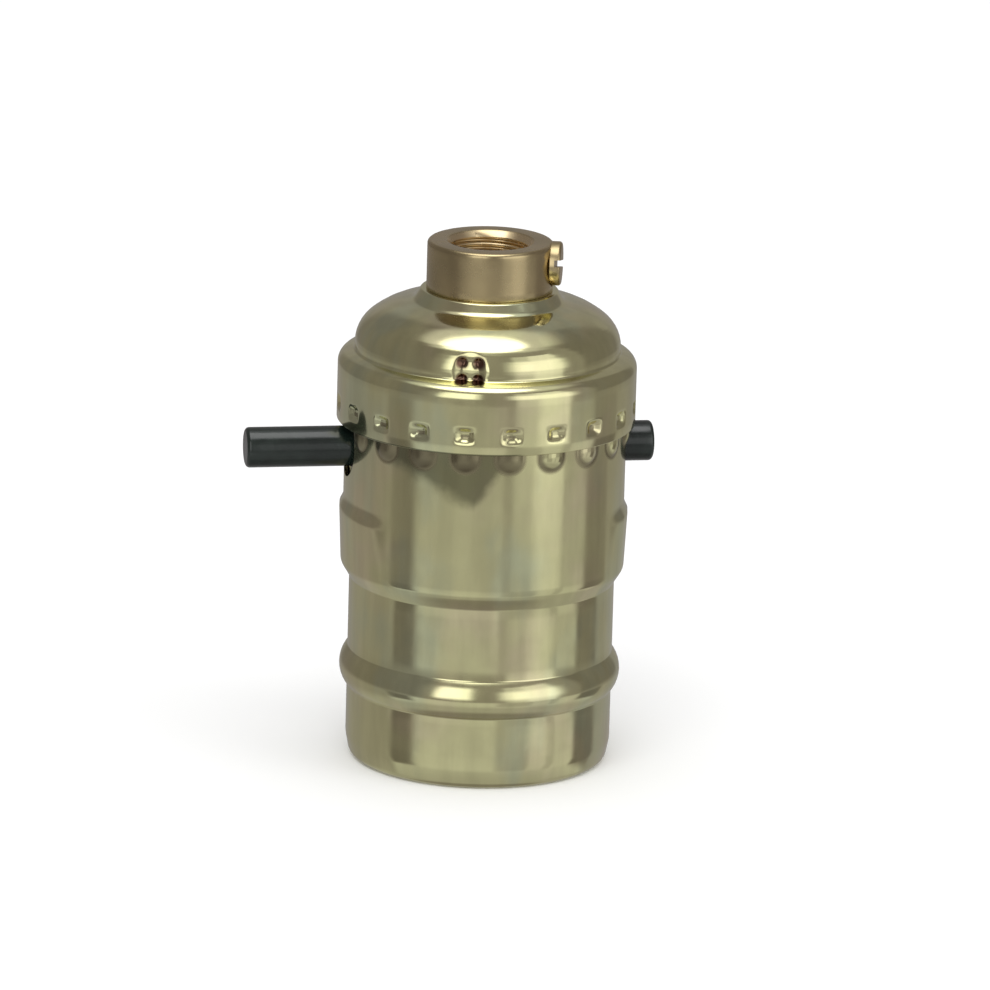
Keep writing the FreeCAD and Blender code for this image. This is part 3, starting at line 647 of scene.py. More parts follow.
@dataclass(frozen=True)
class PunchMark(Marks):
    """Round dish with four small pits in a square, as a staking punch leaves it."""

    azimuth: float = -107.6
    middle_z: float = 50.4
    dish_radius: float = 2.3
    dish_flat_share: float = 0.35
    dish_depth: float = 0.5
    pit_place: float = 1.0
    pit_radius: float = 0.75
    pit_flat: float = 0.25
    pit_depth: float = 0.3
    # reach of the painted shade round each pit, in millimetres
    pit_shade_reach: Span = (0.45, 1.125)
    wall: float = 15.6
    wall_edge: Span = (0.4, 1.0)

    def offset(self, tree: ShapeTree, at: Place) -> Socket:
        """Adds the mark.

        Args:
            tree: the turned piece's tree.
            at: the point of the wall.

        Returns:
            How far the wall moves outwards there, in metres.
        """
        dish_radius = tree.size("Punch mark radius", self.dish_radius * MM)
        dish_depth = tree.size("Punch mark depth", self.dish_depth * MM)
        across, up = self.from_middle(tree, at)
        flat = tree.product(dish_radius, self.dish_flat_share)
        dish = tree.ramp(tree.length(across, up), dish_radius, flat, 0.0, dish_depth)
        pit = tree.ramp(self.from_pit(tree, across, up), self.pit_radius * MM, self.pit_flat * MM,
                        0.0, self.pit_depth * MM)
        return tree.product(tree.math("ADD", dish, pit), self.on_wall(tree, at, -1.0))

    def painted_shade(self, shading: Shading) -> Socket:
        """Adds painted shade in the four pits to a material.

        Args:
            shading: the material's tree.

        Returns:
            Where the painted shade in the pits lies, from 0 to 1.
        """
        at = Place.shaded(shading)
        near, far = self.pit_shade_reach
        away = self.from_pit(shading, *self.from_middle(shading, at))
        shaded_dark = shading.ramp(away, near * MM, far * MM, 1.0, 0.0)
        return shading.product(shaded_dark, self.on_wall(shading, at, 1.0))

    def from_middle(self, tree: Graph, at: Place) -> tuple[Socket, Socket]:
        """Distances round and along the wall from the mark's middle."""
        return at.across(tree, 1, self.azimuth), at.from_height(tree, self.middle_z)

    def from_pit(self, tree: Graph, across: Socket, up: Socket) -> Socket:
        """Distance from the middle of the nearest pit."""
        aside, above = (tree.math("SUBTRACT", away, self.pit_place * MM) for away in (across, up))
        return tree.length(aside, above)

    def on_wall(self, tree: Graph, at: Place, full: float) -> Socket:
        """Full value on the upright wall, fading out over the groove's floor."""
        near, far = self.wall_edge
        return tree.ramp(at.radius, (self.wall + near) * MM, (self.wall + far) * MM, full, 0.0)


@dataclass(frozen=True)
class Thread(Marks):
    """Rolled or cut thread between two heights, on walls inside a radius."""

    pitch: float
    depth: float
    low_z: float
    high_z: float
    outermost: float
    run_out: float = 1.2

    def offset(self, tree: ShapeTree, at: Place) -> Socket:
        """Adds the thread.

        Args:
            tree: the turned piece's tree.
            at: the point of the wall.

        Returns:
            How far the wall moves outwards there, in metres.
        """
        pitch = tree.size("Thread pitch", self.pitch * MM)
        depth = tree.size("Thread depth", self.depth * MM)
        turns = tree.product(tree.math("DIVIDE", at.height, pitch), math.tau)
        phase = tree.math("SUBTRACT", turns, at.angle)
        wave = tree.math("MULTIPLY_ADD", tree.math("COSINE", phase), 0.5, 0.5)
        start = tree.ramp(at.height, self.low_z * MM, (self.low_z + self.run_out) * MM)
        end = tree.ramp(at.height, (self.high_z - self.run_out) * MM, self.high_z * MM, 1.0, 0.0)
        inside = tree.math("LESS_THAN", at.radius, self.outermost * MM)
        return tree.product(wave, depth, start, end, inside)


def turned_piece(name: str, points: Sequence[Point], columns: int,
                 material: Material, rules: Sequence[Marks] = ()) -> Object:
    """Turns a closed outline about Z in Geometry Nodes and presses marks into it.

    Args:
        name: name of the piece.
        points: (radius, height) outline in millimetres, its first point repeated at the end.
        columns: number of columns round the axis.
        material: finish of the piece.
        rules: marks that move the wall in or out.

    Returns:
        The finished piece, a plain mesh.
    """
    obj = outline_object(name, points)
    tree = ShapeTree(f"turned {name}")
    outline = tree.entry.outputs["Geometry"]
    column_count = tree.size("Columns", columns)
    row_count = tree.node("GeometryNodeAttributeDomainSize", {"Geometry": outline}).outputs[0]
    grid = tree.node("GeometryNodeMeshGrid", {
        "Vertices X": tree.math("ADD", column_count, 1.0), "Vertices Y": row_count})
    index = tree.node("GeometryNodeInputIndex").outputs[0]
    row = tree.math("MODULO", index, row_count)
    column = tree.math("FLOOR", tree.math("DIVIDE", index, row_count))
    position = tree.node("GeometryNodeInputPosition").outputs[0]
    sample = tree.node("GeometryNodeSampleIndex", {"Geometry": outline, "Value": position, "Index": row},
                       data_type="FLOAT_VECTOR")
    place = tree.node("ShaderNodeSeparateXYZ", {0: sample.outputs["Value"]})
    radius, height = place.outputs[0], place.outputs[2]
    angle = tree.product(tree.math("DIVIDE", column, column_count), math.tau)
    at = Place(angle, height, radius)
    moved = radius
    for rule in rules:
        moved = tree.math("ADD", moved, rule.offset(tree, at))
    spot = tree.node("ShaderNodeCombineXYZ", {
        0: tree.product(moved, tree.math("COSINE", angle)),
        1: tree.product(moved, tree.math("SINE", angle)),
        2: height})
    wall = tree.node("GeometryNodeSetPosition", {
        "Geometry": grid.outputs[0], "Position": spot.outputs[0]})
    closed = tree.node("GeometryNodeMergeByDistance", {"Geometry": wall.outputs[0],
                                                       "Distance": MERGE_DISTANCE})
    tree.finish(closed.outputs[0], material)
    tree.grow(obj)
    point_outwards(obj.data)
    return obj


def point_outwards(mesh: Mesh) -> None:
    """Recalculates the normals of a closed mesh so that they point outwards.

    Args:
        mesh: the mesh.
    """
    shape = bmesh.new()
    shape.from_mesh(mesh)
    bmesh.ops.recalc_face_normals(shape, faces=shape.faces)
    shape.to_mesh(mesh)
    shape.free()


def prism(name: str, outline: Sequence[Point], span: Span,
          material: Material) -> Object:
    """Makes a closed prism along X.

    Args:
        name: name of the object.
        outline: (y, z) points in millimetres.
        span: where it starts and ends along X.
        material: finish that its faces leave where it cuts.

    Returns:
        The prism.
    """
    shape = bmesh.new()
    rings = [[shape.verts.new((x * MM, y * MM, z * MM)) for y, z in outline] for x in span]
    count = len(outline)
    for index in range(count):
        after = (index + 1) % count
        shape.faces.new((rings[0][index], rings[0][after], rings[1][after], rings[1][index]))
    for ring in rings:
        shape.faces.new(ring)
    bmesh.ops.recalc_face_normals(shape, faces=shape.faces)
    mesh = bpy.data.meshes.new(name)
    shape.to_mesh(mesh)
    shape.free()
    mesh.materials.append(material)
    return new_object(name, mesh)


def circle(radius: float, steps: int = 64) -> list[Point]:
    """Points of a circle about (0, 0)."""
    return [(radius * math.cos(math.tau * step / steps), radius * math.sin(math.tau * step / steps))
            for step in range(steps)]


def box(half: float, low: float, high: float) -> list[Point]:
    """Corners of an upright rectangle about the middle plane."""
    return [(-half, low), (half, low), (half, high), (-half, high)]


def radial_place(azimuth: float, height: float) -> Matrix:
    """Turns what lies along +X at height 0 to an azimuth in degrees, at a height in millimetres."""
    return Matrix.Translation((0, 0, height * MM)) @ Matrix.Rotation(math.radians(azimuth), 4, "Z")


def cut_away(obj: Object, cutter: Object) -> None:
    """Cuts one closed mesh out of another and removes the cutter.

    Args:
        obj: what is cut.
        cutter: the prism that is cut out of it.
    """
    modifier = obj.modifiers.new("cut", "BOOLEAN")
    modifier.operation = "DIFFERENCE"
    modifier.solver = "EXACT"
    modifier.object = cutter
    bake_modifiers(obj)
    mesh = cutter.data
    obj.data.materials.clear()
    obj.data.materials.append(mesh.materials[0])
    obj.data.polygons.foreach_set("material_index", [0] * len(obj.data.polygons))
    obj.data.set_sharp_from_angle(angle=SHARP_TURN)
    bpy.data.objects.remove(cutter)
    bpy.data.meshes.remove(mesh)


def seat(obj: Object, body: Body, slot: Slot, *nodes: str) -> Object:
    """Makes a finished piece ride on its body in place of its CAD nodes.

    Args:
        obj: the piece.
        body: the body that carries it.
        slot: the record's slot of its finish; not used.
        nodes: CAD nodes that it stands for.

    Returns:
        The same piece.
    """
    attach(obj, body.value)
    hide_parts(*nodes)
    LOG.info("%s stands for %s: %d faces", obj.name, ", ".join(nodes), len(obj.data.polygons))
    return obj


@dataclass(frozen=True)
class MetalFinish:
    """Bare, lacquered or plated metal with faint waves, stains and scratches, and painted light inside a
    bore where it has one.
    """

    name: str
    colour: Triple
    stain: Triple
    roughness: Span = (0.16, 0.26)
    scratch: float = 0.000004
    scratches: Noise = Noise(900.0, 4.0, (1.0, 1.0, 0.12))
    wave: float = 0.00003
    waves: Noise = Noise(90.0, 2.0)
    stains: Noise = Noise(130.0, 5.0, span=(0.35, 0.75))
    polish: Noise = Noise(299.0, 4.0, span=(0.3, 0.7))
    # radii over which the painted light inside a bore fades out, and its brighter colour
    bore: Span = (0.0, 0.0)
    bore_painted_light: Triple = (0.78, 0.62, 0.37)

    def build(self) -> Material:
        """Makes the material.

        Returns:
            The material, with a brighter colour inside the bore's radius where it has one: painted light
            for the glow inside the bore.
        """
        shading = Shading(self.name)
        tone = shading.blend(shading.cloud(self.stains), self.colour, self.stain)
        full, none = self.bore
        if none:
            # painted light: a brighter colour inside the bore
            inside = shading.ramp(Place.shaded(shading).radius, full * MM, none * MM, 1.0, 0.0)
            tone = shading.blend(inside, tone, self.bore_painted_light)
        shading.feed("Base Color", tone)
        shading.feed("Metallic", 1.0)
        shading.feed("Roughness", shading.cloud(self.polish, *self.roughness))
        waves = shading.bump(shading.noise(self.waves), self.wave)
        shading.feed("Normal", shading.bump(shading.noise(self.scratches), self.scratch, waves))
        return shading.material


@dataclass(frozen=True)
class StainAndShade:
    """Darkened triangle of the wall that hangs from the skirt, its tip below: painted shade for the dark
    reflection and shadow under the skirt, together with a lacquer stain.
    """

    tip_azimuth: float = -104.0
    tip_z: float = 34.4
    rise_left: float = 0.115
    rise_right: float = 0.38
    top_z: float = 41.2
    darkest: float = 0.42
    blur: Span = (-0.8, 1.6)
    waves: float = 3.0
    wave: Noise = Noise(330.0, 3.0)

    def share(self, shading: Shading) -> Socket:
        """Adds the nodes of the painted shade and stain to a material.

        Args:
            shading: the material's tree.

        Returns:
            What is left of the colour, 1 outside the darkened triangle.
        """
        at = Place.shaded(shading)
        height = shading.math("DIVIDE", at.height, MM)
        away = shading.math("SUBTRACT", shading.math("DEGREES", at.angle), self.tip_azimuth)
        edge = shading.math("MAXIMUM", shading.product(away, -self.rise_left),
                            shading.product(away, self.rise_right))
        wave = shading.product(shading.math("SUBTRACT", shading.noise(self.wave), 0.5), self.waves)
        above = shading.math("ADD", shading.math("SUBTRACT", height, self.tip_z),
                             shading.math("SUBTRACT", wave, edge))
        below_skirt = shading.math("LESS_THAN", height, self.top_z)
        cover = shading.product(shading.ramp(above, *self.blur), below_skirt)
        return shading.ramp(cover, 0.0, 1.0, 1.0, self.darkest, False)


@dataclass(frozen=True)
class DrawnBrass:
    """Bright lacquered brass: drawn streaks, greenish and pinkish clouds, a stain, and painted shade under
    the skirt, at the flutes and in the punch mark's pits.
    """

    name: str = "drawn brass"
    colour: Triple = (0.77, 0.742, 0.415)
    greenish: Triple = (0.70, 0.72, 0.46)
    green: Noise = Noise(120.0, 3.0, (1.0, 1.0, 0.5), (0.5, 0.7))
    pinkish: Triple = (0.79, 0.71, 0.45)
    pink: Noise = Noise(95.0, 3.0, span=(0.45, 0.72))
    roughness: Span = (0.09, 0.17)
    polish: Noise = Noise(300.0, 4.0, span=(0.3, 0.7))
    wave: float = 0.00003
    waves: Noise = Noise(90.0, 2.0)
    streak: float = 0.000006
    streaks: Noise = Noise(420.0, 4.0, (1.0, 1.0, 0.14), (0.3, 0.7))
    faded: Span = (0.93, 1.05)
    # colour, share and extra roughness of the painted shade at the flutes
    flute_shade: Triple = (0.26, 0.22, 0.14)
    flute_shade_share: float = 0.75
    flute_shade_roughness: float = 0.25
    # colour of the painted shade in the punch mark's pits
    pit: Triple = (0.15, 0.085, 0.06)

    def build(self) -> Material:
        """Makes the material.

        Returns:
            The material, with painted shade at the flutes and the punch mark's pits, and painted shade with
            a stain under the skirt.
        """
        shading = Shading(self.name)
        warmer = shading.blend(shading.cloud(self.pink), self.colour, self.pinkish)
        tone = shading.blend(shading.cloud(self.green), warmer, self.greenish)
        streaks = shading.noise(self.streaks)
        faded = shading.ramp(streaks, *self.streaks.span, *self.faded)
        # painted shade and stain under the skirt, with the faded streaks
        left = shading.product(StainAndShade().share(shading), faded)
        clean = shading.node("ShaderNodeVectorMath", {0: tone, 1: left}, operation="MULTIPLY").outputs[0]
        # painted shade at the flutes, then painted shade in the punch mark's pits
        flute_shade = shading.product(Flutes().painted_shade(shading), self.flute_shade_share)
        shaded_dark = shading.blend(flute_shade, clean, self.flute_shade)
        shading.feed("Base Color", shading.blend(PunchMark().painted_shade(shading), shaded_dark, self.pit))
        shading.feed("Metallic", 1.0)
        polish = shading.cloud(self.polish, *self.roughness)
        shading.feed("Roughness", shading.math("MULTIPLY_ADD", flute_shade, self.flute_shade_roughness, polish))
        waves = shading.bump(shading.noise(self.waves), self.wave)
        shading.feed("Normal", shading.bump(streaks, self.streak, waves))
        return shading.material


@dataclass(frozen=True)
class MouldedFinish:
    """Moulded phenolic: dark, glossy, with faint flow marks."""

    name: str
    colour: Triple
    worn: Triple
    wear: Noise = Noise(260.0, 5.0, span=(0.4, 0.8))
    roughness: Span = (0.25, 0.4)
    polish: Noise = Noise(700.0, 3.0, span=(0.3, 0.7))
    shine: float = 0.5
    grain: float = 0.00001
    grains: Noise = Noise(1500.0, 3.0)

    def build(self) -> Material:
        """Makes the material.

        Returns:
            The material.
        """
        shading = Shading(self.name)
        shading.feed("Base Color", shading.blend(shading.cloud(self.wear), self.colour, self.worn))
        shading.feed("Roughness", shading.cloud(self.polish, *self.roughness))
        shading.feed("Specular IOR Level", self.shine)
        shading.feed("Normal", shading.bump(shading.noise(self.grains), self.grain))
        return shading.material


@dataclass(frozen=True)
class FibreFinish:
    """Vulcanised fibre: matt brown board with flecks and a fine grain."""

    name: str
    colour: Triple
    fleck: Triple
    flecks: Noise = Noise(2600.0, 4.0, (1.0, 1.0, 0.35), (0.52, 0.72))
    roughness: float = 0.72
    grain: float = 0.00003
    grains: Noise = Noise(1800.0, 5.0)

    def build(self) -> Material:
        """Makes the material.

        Returns:
            The material.
        """
        shading = Shading(self.name)
        shading.feed("Base Color", shading.blend(shading.cloud(self.flecks), self.colour, self.fleck))
        shading.feed("Roughness", self.roughness)
        shading.feed("Normal", shading.bump(shading.noise(self.grains), self.grain))
        return shading.material


@dataclass
class Finishes:
    """Every finish of the socket, built once."""

    made: dict[Slot, Material] = field(default_factory=dict)

    def build(self) -> None:
        """Makes all the materials."""
        recipes = {
            Slot.SHEET: DrawnBrass(),
            # the hub's bore gets painted light: a brighter colour inside its radius
            Slot.TURNED: MetalFinish("turned brass", (0.56, 0.45, 0.25), (0.44, 0.36, 0.2), (0.22, 0.32),
                                     0.000006, Noise(900.0, 4.0, (0.15, 0.15, 1.0)), bore=(4.94, 5.2)),
            Slot.CONTACT: MetalFinish("contact brass", (0.75, 0.58, 0.28), (0.62, 0.45, 0.22)),
            Slot.NICKEL: MetalFinish("nickel plate", (0.70, 0.69, 0.66), (0.60, 0.59, 0.56)),
            Slot.SILVER: MetalFinish("contact silver", (0.85, 0.84, 0.82), (0.70, 0.69, 0.67)),
            Slot.HOLDER: MetalFinish("rolled aluminium", (0.76, 0.76, 0.75), (0.66, 0.66, 0.65),
                                     roughness=(0.2, 0.32)),
            Slot.FIBRE: FibreFinish("fibre board", (0.16, 0.10, 0.06), (0.28, 0.19, 0.12)),
            Slot.BROWN: MouldedFinish("brown phenolic", (0.030, 0.016, 0.010), (0.06, 0.035, 0.022)),
            Slot.BLACK: MouldedFinish("black rod", (0.004, 0.008, 0.006), (0.011, 0.018, 0.014),
                                      roughness=(0.14, 0.22), shine=0.7),
        }
        for slot, recipe in recipes.items():
            self.made[slot] = recipe.build()

    def of(self, slot: Slot) -> Material:
        """The material of a slot."""
        return self.made[slot]

    def dress_nodes(self) -> None:
        """Gives every carried-over CAD node the material of its slot."""
        slots = {item["node"]: item["material_slot"] for item in frame["record"]["subparts"]}
        for name, obj in frame["nodes"].items():
            material = self.made[Slot(slots[name])]
            obj.data.materials.clear()
            obj.data.materials.append(material)


@dataclass
class Shell:
    """Drawn brass shell: turned-in rim, bead, step, side pads, flutes and rod slots."""

    wall: float = 0.4
    rim_inner: float = 13.6
    rim_outer: float = 15.15
    rim_round: float = 1.1
    hem_height: float = 2.4
    hem_round: float = 0.3
    taper_height: float = 2.5
    taper_round: float = 4.0
    lower: float = 15.65
    bead_z: float = 10.95
    bead_rise: float = 2.0
    bead_half: float = 2.3
    bead_round: float = 3.3
    bead_foot_round: float = 0.35
    step_z: float = 21.9
    step_height: float = 1.7
    step_foot_round: float = 0.5
    step_round: float = 1.6
    upper: float = 16.55
    pads_top_z: float = 32.0
    pads_step: float = 0.5
    pads_inner_step: float = 1.0
    flutes_z: Span = (38.2, 42.5)
    flutes_step: float = 0.18
    plain_step: float = 1.2
    top_z: float = 45.6
    edge_round: float = 0.12
    slot: float = 3.6
    slot_reach: float = 20.0
    slot_arc_steps: int = 48
    rod_z: float = 37.95
    columns: int = 520

    def outer_path(self) -> list[Triple]:
        """Outer line from the rim to the upper edge.

        Returns:
            (radius, height, round) corners in millimetres.
        """
        return [
            (self.rim_outer, 0, self.rim_round),
            (self.lower, self.taper_height, self.taper_round),
            (self.lower, self.bead_z - self.bead_half, self.bead_foot_round),
            (self.lower + self.bead_rise, self.bead_z, self.bead_round),
            (self.lower, self.bead_z + self.bead_half, self.bead_foot_round),
            (self.lower, self.step_z, self.step_foot_round),
            (self.upper, self.step_z + self.step_height, self.step_round),
            (self.upper, self.top_z, self.edge_round),
        ]

    def outline(self) -> list[Point]:
        """Closed section of the sheet, dense where it bends and where the flutes are.

        Returns:
            (radius, height) points in millimetres.
        """
        outer = self.outer_path()
        inner = offset_path(outer, self.wall)[2:]
        inner[-1] = (*inner[-1][:2], self.edge_round)
        hem = [(inner[0][0], self.hem_height, 0), (self.rim_inner, self.hem_height, self.edge_round),
               (self.rim_inner, 0, self.hem_round)]
        points = rounded(outer + inner[::-1] + hem)
        return divided(points, self.row_step)

    def row_step(self, radius: float, height: float) -> float:
        """Longest stretch of the section at a place, finest on the outer side of the flutes.

        Args:
            radius: the place's radius.
            height: its height.

        Returns:
            The stretch.
        """
        inner = radius < self.upper - self.wall / 2
        if height > self.pads_top_z and inner:
            return self.plain_step
        if self.flutes_z[0] < height < self.flutes_z[1]:
            return self.flutes_step
        if self.step_z < height < self.pads_top_z:
            return self.pads_inner_step if inner else self.pads_step
        return self.plain_step

    def build(self, finishes: Finishes) -> Object:
        """Makes the shell.

        Args:
            finishes: the socket's finishes.

        Returns:
            The shell, riding on the socket.
        """
        obj = turned_piece("brass_shell", self.outline(), self.columns, finishes.of(Slot.SHEET),
                           [SidePads(), Flutes()])
        cut_away(obj, self.slot_cutter(finishes.of(Slot.SHEET)))
        return seat(obj, Body.SOCKET, Slot.SHEET, "shell")

    def slot_cutter(self, material: Material) -> Object:
        """Makes a prism through both sides in the shape of the rod slots.

        Args:
            material: finish of the cut faces.

        Returns:
            The prism.
        """
        turns = [math.pi * (1 + step / self.slot_arc_steps) for step in range(self.slot_arc_steps + 1)]
        arc = [(self.slot * math.cos(turn), self.rod_z + self.slot * math.sin(turn)) for turn in turns]
        high = self.top_z + CLEAR
        outline = arc + [(self.slot, high), (-self.slot, high)]
        return prism("slot_cutter", outline, (-self.slot_reach, self.slot_reach), material)


@dataclass
class Cap:
    """Spun brass cap: dented skirt, rounded shoulder, groove, dome and crown."""

    wall: float = 0.4
    skirt: float = 17.55
    edge_z: float = 41.0
    edge_round: float = 0.12
    skirt_top_z: float = 48.6
    skirt_round: float = 1.45
    groove: float = 15.6
    groove_z: float = 49.4
    groove_round: float = 0.35
    dome_edge_z: float = 52.2
    dome_round: float = 4.1
    dome_bend: float = 12.2
    dome_bend_z: float = 54.6
    dome_bend_round: float = 7.75
    crown: float = 8.8
    crown_foot_z: float = 55.43
    crown_foot_round: float = 1.2
    crown_draft: float = 0.8
    crown_z: float = 56.73
    crown_round: float = 0.4
    hole: float = 5.9
    dents_z: float = 43.3
    dents_half: float = 1.4
    dents_step: float = 0.11
    dents_inner_step: float = 0.25
    mark_reach: Span = (1.5, 1.0)
    mark_step: float = 0.2
    plain_step: float = 1.0
    columns: int = 560

    def outer_path(self) -> list[Triple]:
        """Outer line from the skirt's edge to the hole for the hub.

        Returns:
            (radius, height, round) corners in millimetres.
        """
        return [
            (self.skirt, self.edge_z, self.edge_round),
            (self.skirt, self.skirt_top_z, self.skirt_round),
            (self.groove, self.groove_z, self.groove_round),
            (self.groove, self.dome_edge_z, self.dome_round),
            (self.dome_bend, self.dome_bend_z, self.dome_bend_round),
            (self.crown, self.crown_foot_z, self.crown_foot_round),
            (self.crown - self.crown_draft, self.crown_z, self.crown_round),
            (self.hole, self.crown_z, 0),
        ]

    def outline(self) -> list[Point]:
        """Closed section of the sheet.

        Returns:
            (radius, height) points in millimetres.
        """
        outer = self.outer_path()
        inner = offset_path(outer, self.wall)
        return divided(rounded(outer + inner[::-1]), self.row_step)

    def row_step(self, radius: float, height: float) -> float:
        """Longest stretch of the section at a place, finest at the dents and the punch mark.

        Args:
            radius: the place's radius.
            height: its height.

        Returns:
            The stretch.
        """
        below, above = self.mark_reach
        if abs(height - self.dents_z) < self.dents_half:
            return self.dents_step if radius > self.skirt - self.wall / 2 else self.dents_inner_step
        if self.groove_z - below < height < self.dome_edge_z + above:
            return self.mark_step
        return self.plain_step

    def build(self, finishes: Finishes) -> Object:
        """Makes the cap.

        Args:
            finishes: the socket's finishes.

        Returns:
            The cap, riding on the socket.
        """
        obj = turned_piece("brass_cap", self.outline(), self.columns, finishes.of(Slot.SHEET),
                           [Dents(), PunchMark()])
        return seat(obj, Body.SOCKET, Slot.SHEET, "cap")


@dataclass
class Hub:
    """Turned hub: bored, tapped with a fine thread and staked into the cap."""

    radius: float = 7.4
    low_z: float = 56.73
    top_z: float = 62.5
    top_round: float = 0.5
    bore: float = 4.45
    mouth: float = 5.15
    mouth_depth: float = 0.7
    stop: float = 3.9
    stop_z: float = 56.53
    spigot: float = 5.9
    stake: float = 7.0
    stake_low_z: float = 55.73
    stake_top_z: float = 56.33
    thread_pitch: float = 25.4 / 27
    thread_depth: float = 0.5
    thread_reach: float = 0.2
    run_out: float = 0.6
    mouth_round: float = 0.2
    stake_round: float = 0.25
    fine_round: float = 0.1
    thread_step: float = 0.08
    plain_step: float = 0.8
    columns: int = 256
    screw_azimuth: float = -15.0
    screw_z: float = 60.065
    spot_face: float = 7.1
    spot_radius: float = 2.75
    tapped: float = 1.75

    def outline(self) -> list[Point]:
        """Closed section of the hub, dense along the thread.

        Returns:
            (radius, height) points in millimetres.
        """
        corners = [
            (self.stop, self.stake_low_z, self.fine_round),
            (self.stake, self.stake_low_z, self.stake_round),
            (self.stake, self.stake_top_z, self.fine_round),
            (self.spigot, self.stake_top_z, 0),
            (self.spigot, self.low_z, 0),
            (self.radius, self.low_z, self.fine_round),
            (self.radius, self.top_z, self.top_round),
            (self.mouth, self.top_z, self.mouth_round),
            (self.bore, self.top_z - self.mouth_depth, self.fine_round),
            (self.bore, self.stop_z, self.fine_round),
            (self.stop, self.stop_z, self.fine_round),
        ]
        threaded = self.bore + self.fine_round
        return divided(rounded(corners), lambda r, z: self.thread_step if r < threaded else self.plain_step)

    def build(self, finishes: Finishes) -> Object:
        """Makes the hub.

        Args:
            finishes: the socket's finishes.

        Returns:
            The hub, riding on the socket.
        """
        thread = Thread(self.thread_pitch, self.thread_depth, self.stop_z, self.top_z,
                        self.bore + self.thread_reach, self.run_out)
        material = finishes.of(Slot.TURNED)
        obj = turned_piece("hub_body", self.outline(), self.columns, material, [thread])
        for name, radius, start in (("spot_face", self.spot_radius, self.spot_face),
                                    ("tapped_hole", self.tapped, self.bore / 2)):
            cutter = prism(name, circle(radius), (start, self.radius + CLEAR), material)
            cutter.data.transform(radial_place(self.screw_azimuth, self.screw_z))
            cut_away(obj, cutter)
        return seat(obj, Body.SOCKET, Slot.TURNED, "hub")


@dataclass
class SetScrew:
    """Slotted screw in the hub's side."""

    azimuth: float = -15.0
    middle_z: float = 60.065
    shank: float = 1.75
    head: float = 2.6
    tip: float = 5.25
    seat: float = 7.1
    head_height: float = 1.3
    head_round: float = 0.35
    tip_bevel: float = 0.35
    fine_round: float = 0.1
    step: float = 0.5
    columns: int = 96
    slot_reach: float = 4.0
    slot_width: float = 0.8
    slot_depth: float = 0.7
    slot_turn: float = 78.0

    def build(self, finishes: Finishes) -> Object:
        """Makes the screw.

        Args:
            finishes: the socket's finishes.

        Returns:
            The screw, riding on the socket.
        """
        top = self.seat + self.head_height
        corners = [
            (CENTRE, self.tip, 0),
            (self.shank - self.tip_bevel, self.tip, self.fine_round),
            (self.shank, self.tip + self.tip_bevel, self.fine_round),
            (self.shank, self.seat, self.fine_round),
            (self.head, self.seat, self.fine_round),
            (self.head, top, self.head_round),
            (CENTRE, top, 0),
        ]
        material = finishes.of(Slot.TURNED)
        obj = turned_piece("hub_screw", divided(rounded(corners), lambda r, z: self.step), self.columns,
                           material)
        slot = box(self.slot_width / 2, top - self.slot_depth, top + CLEAR)
        cut_away(obj, prism("screw_slot", slot, (-self.slot_reach, self.slot_reach), material))
        obj.data.transform(radial_place(self.azimuth, self.middle_z)
                           @ Matrix.Rotation(QUARTER_TURN, 4, "Y")
                           @ Matrix.Rotation(math.radians(self.slot_turn), 4, "Z"))
        return seat(obj, Body.SOCKET, Slot.TURNED, "hub_set_screw")


@dataclass
class PushRod:
    """Round moulded rod with a saddle on top for the detent leaf and a flat below for the wiper."""

    radius: float = 2.38
    end_round: float = 0.5
    start_x: float = -28.5
    end_x: float = 19.9
    axis_z: float = 37.95
    middle_x: float = -4.3
    saddle_half: float = 6.9
    saddle_z: float = 39.13
    seat_z: float = 38.88
    seat_half: float = 0.8
    seat_places: Span = (-8.6, 0.0)
    flat_half: float = 2.3
    flat_z: float = 36.37
    pin: float = 0.8
    pin_top_z: float = 37.87
    step: float = 1.0
    columns: int = 96

    def build(self, finishes: Finishes) -> Object:
        """Makes the rod.

        Args:
            finishes: the socket's finishes.

        Returns:
            The rod, riding on its own body.
        """
        material = finishes.of(Slot.BLACK)
        corners = [(CENTRE, self.start_x, 0), (self.radius, self.start_x, self.end_round),
                   (self.radius, self.end_x, self.end_round), (CENTRE, self.end_x, 0)]
        obj = turned_piece("switch_rod_bar", divided(rounded(corners), lambda r, z: self.step),
                           self.columns, material)
        obj.data.transform(Matrix.Translation((0, 0, self.axis_z * MM))
                           @ Matrix.Rotation(QUARTER_TURN, 4, "Y"))
        side = self.radius + CLEAR
        high, low = self.axis_z + side, self.axis_z - side
        cuts = [(self.middle_x, self.saddle_half, self.saddle_z, high),
                (self.middle_x, self.flat_half, low, self.flat_z)]
        cuts += [(place, self.seat_half, self.seat_z, high) for place in self.seat_places]
        for x, half, bottom, top in cuts:
            cut_away(obj, prism("rod_cut", box(side, bottom, top), (x - half, x + half), material))
        drill = prism("rod_cut", circle(self.pin), (-self.pin_top_z, -low), material)
        drill.data.transform(Matrix.Translation((self.middle_x * MM, 0, 0))
                             @ Matrix.Rotation(QUARTER_TURN, 4, "Y"))
        cut_away(obj, drill)
        return seat(obj, Body.ROD, Slot.BLACK, "push_rod")


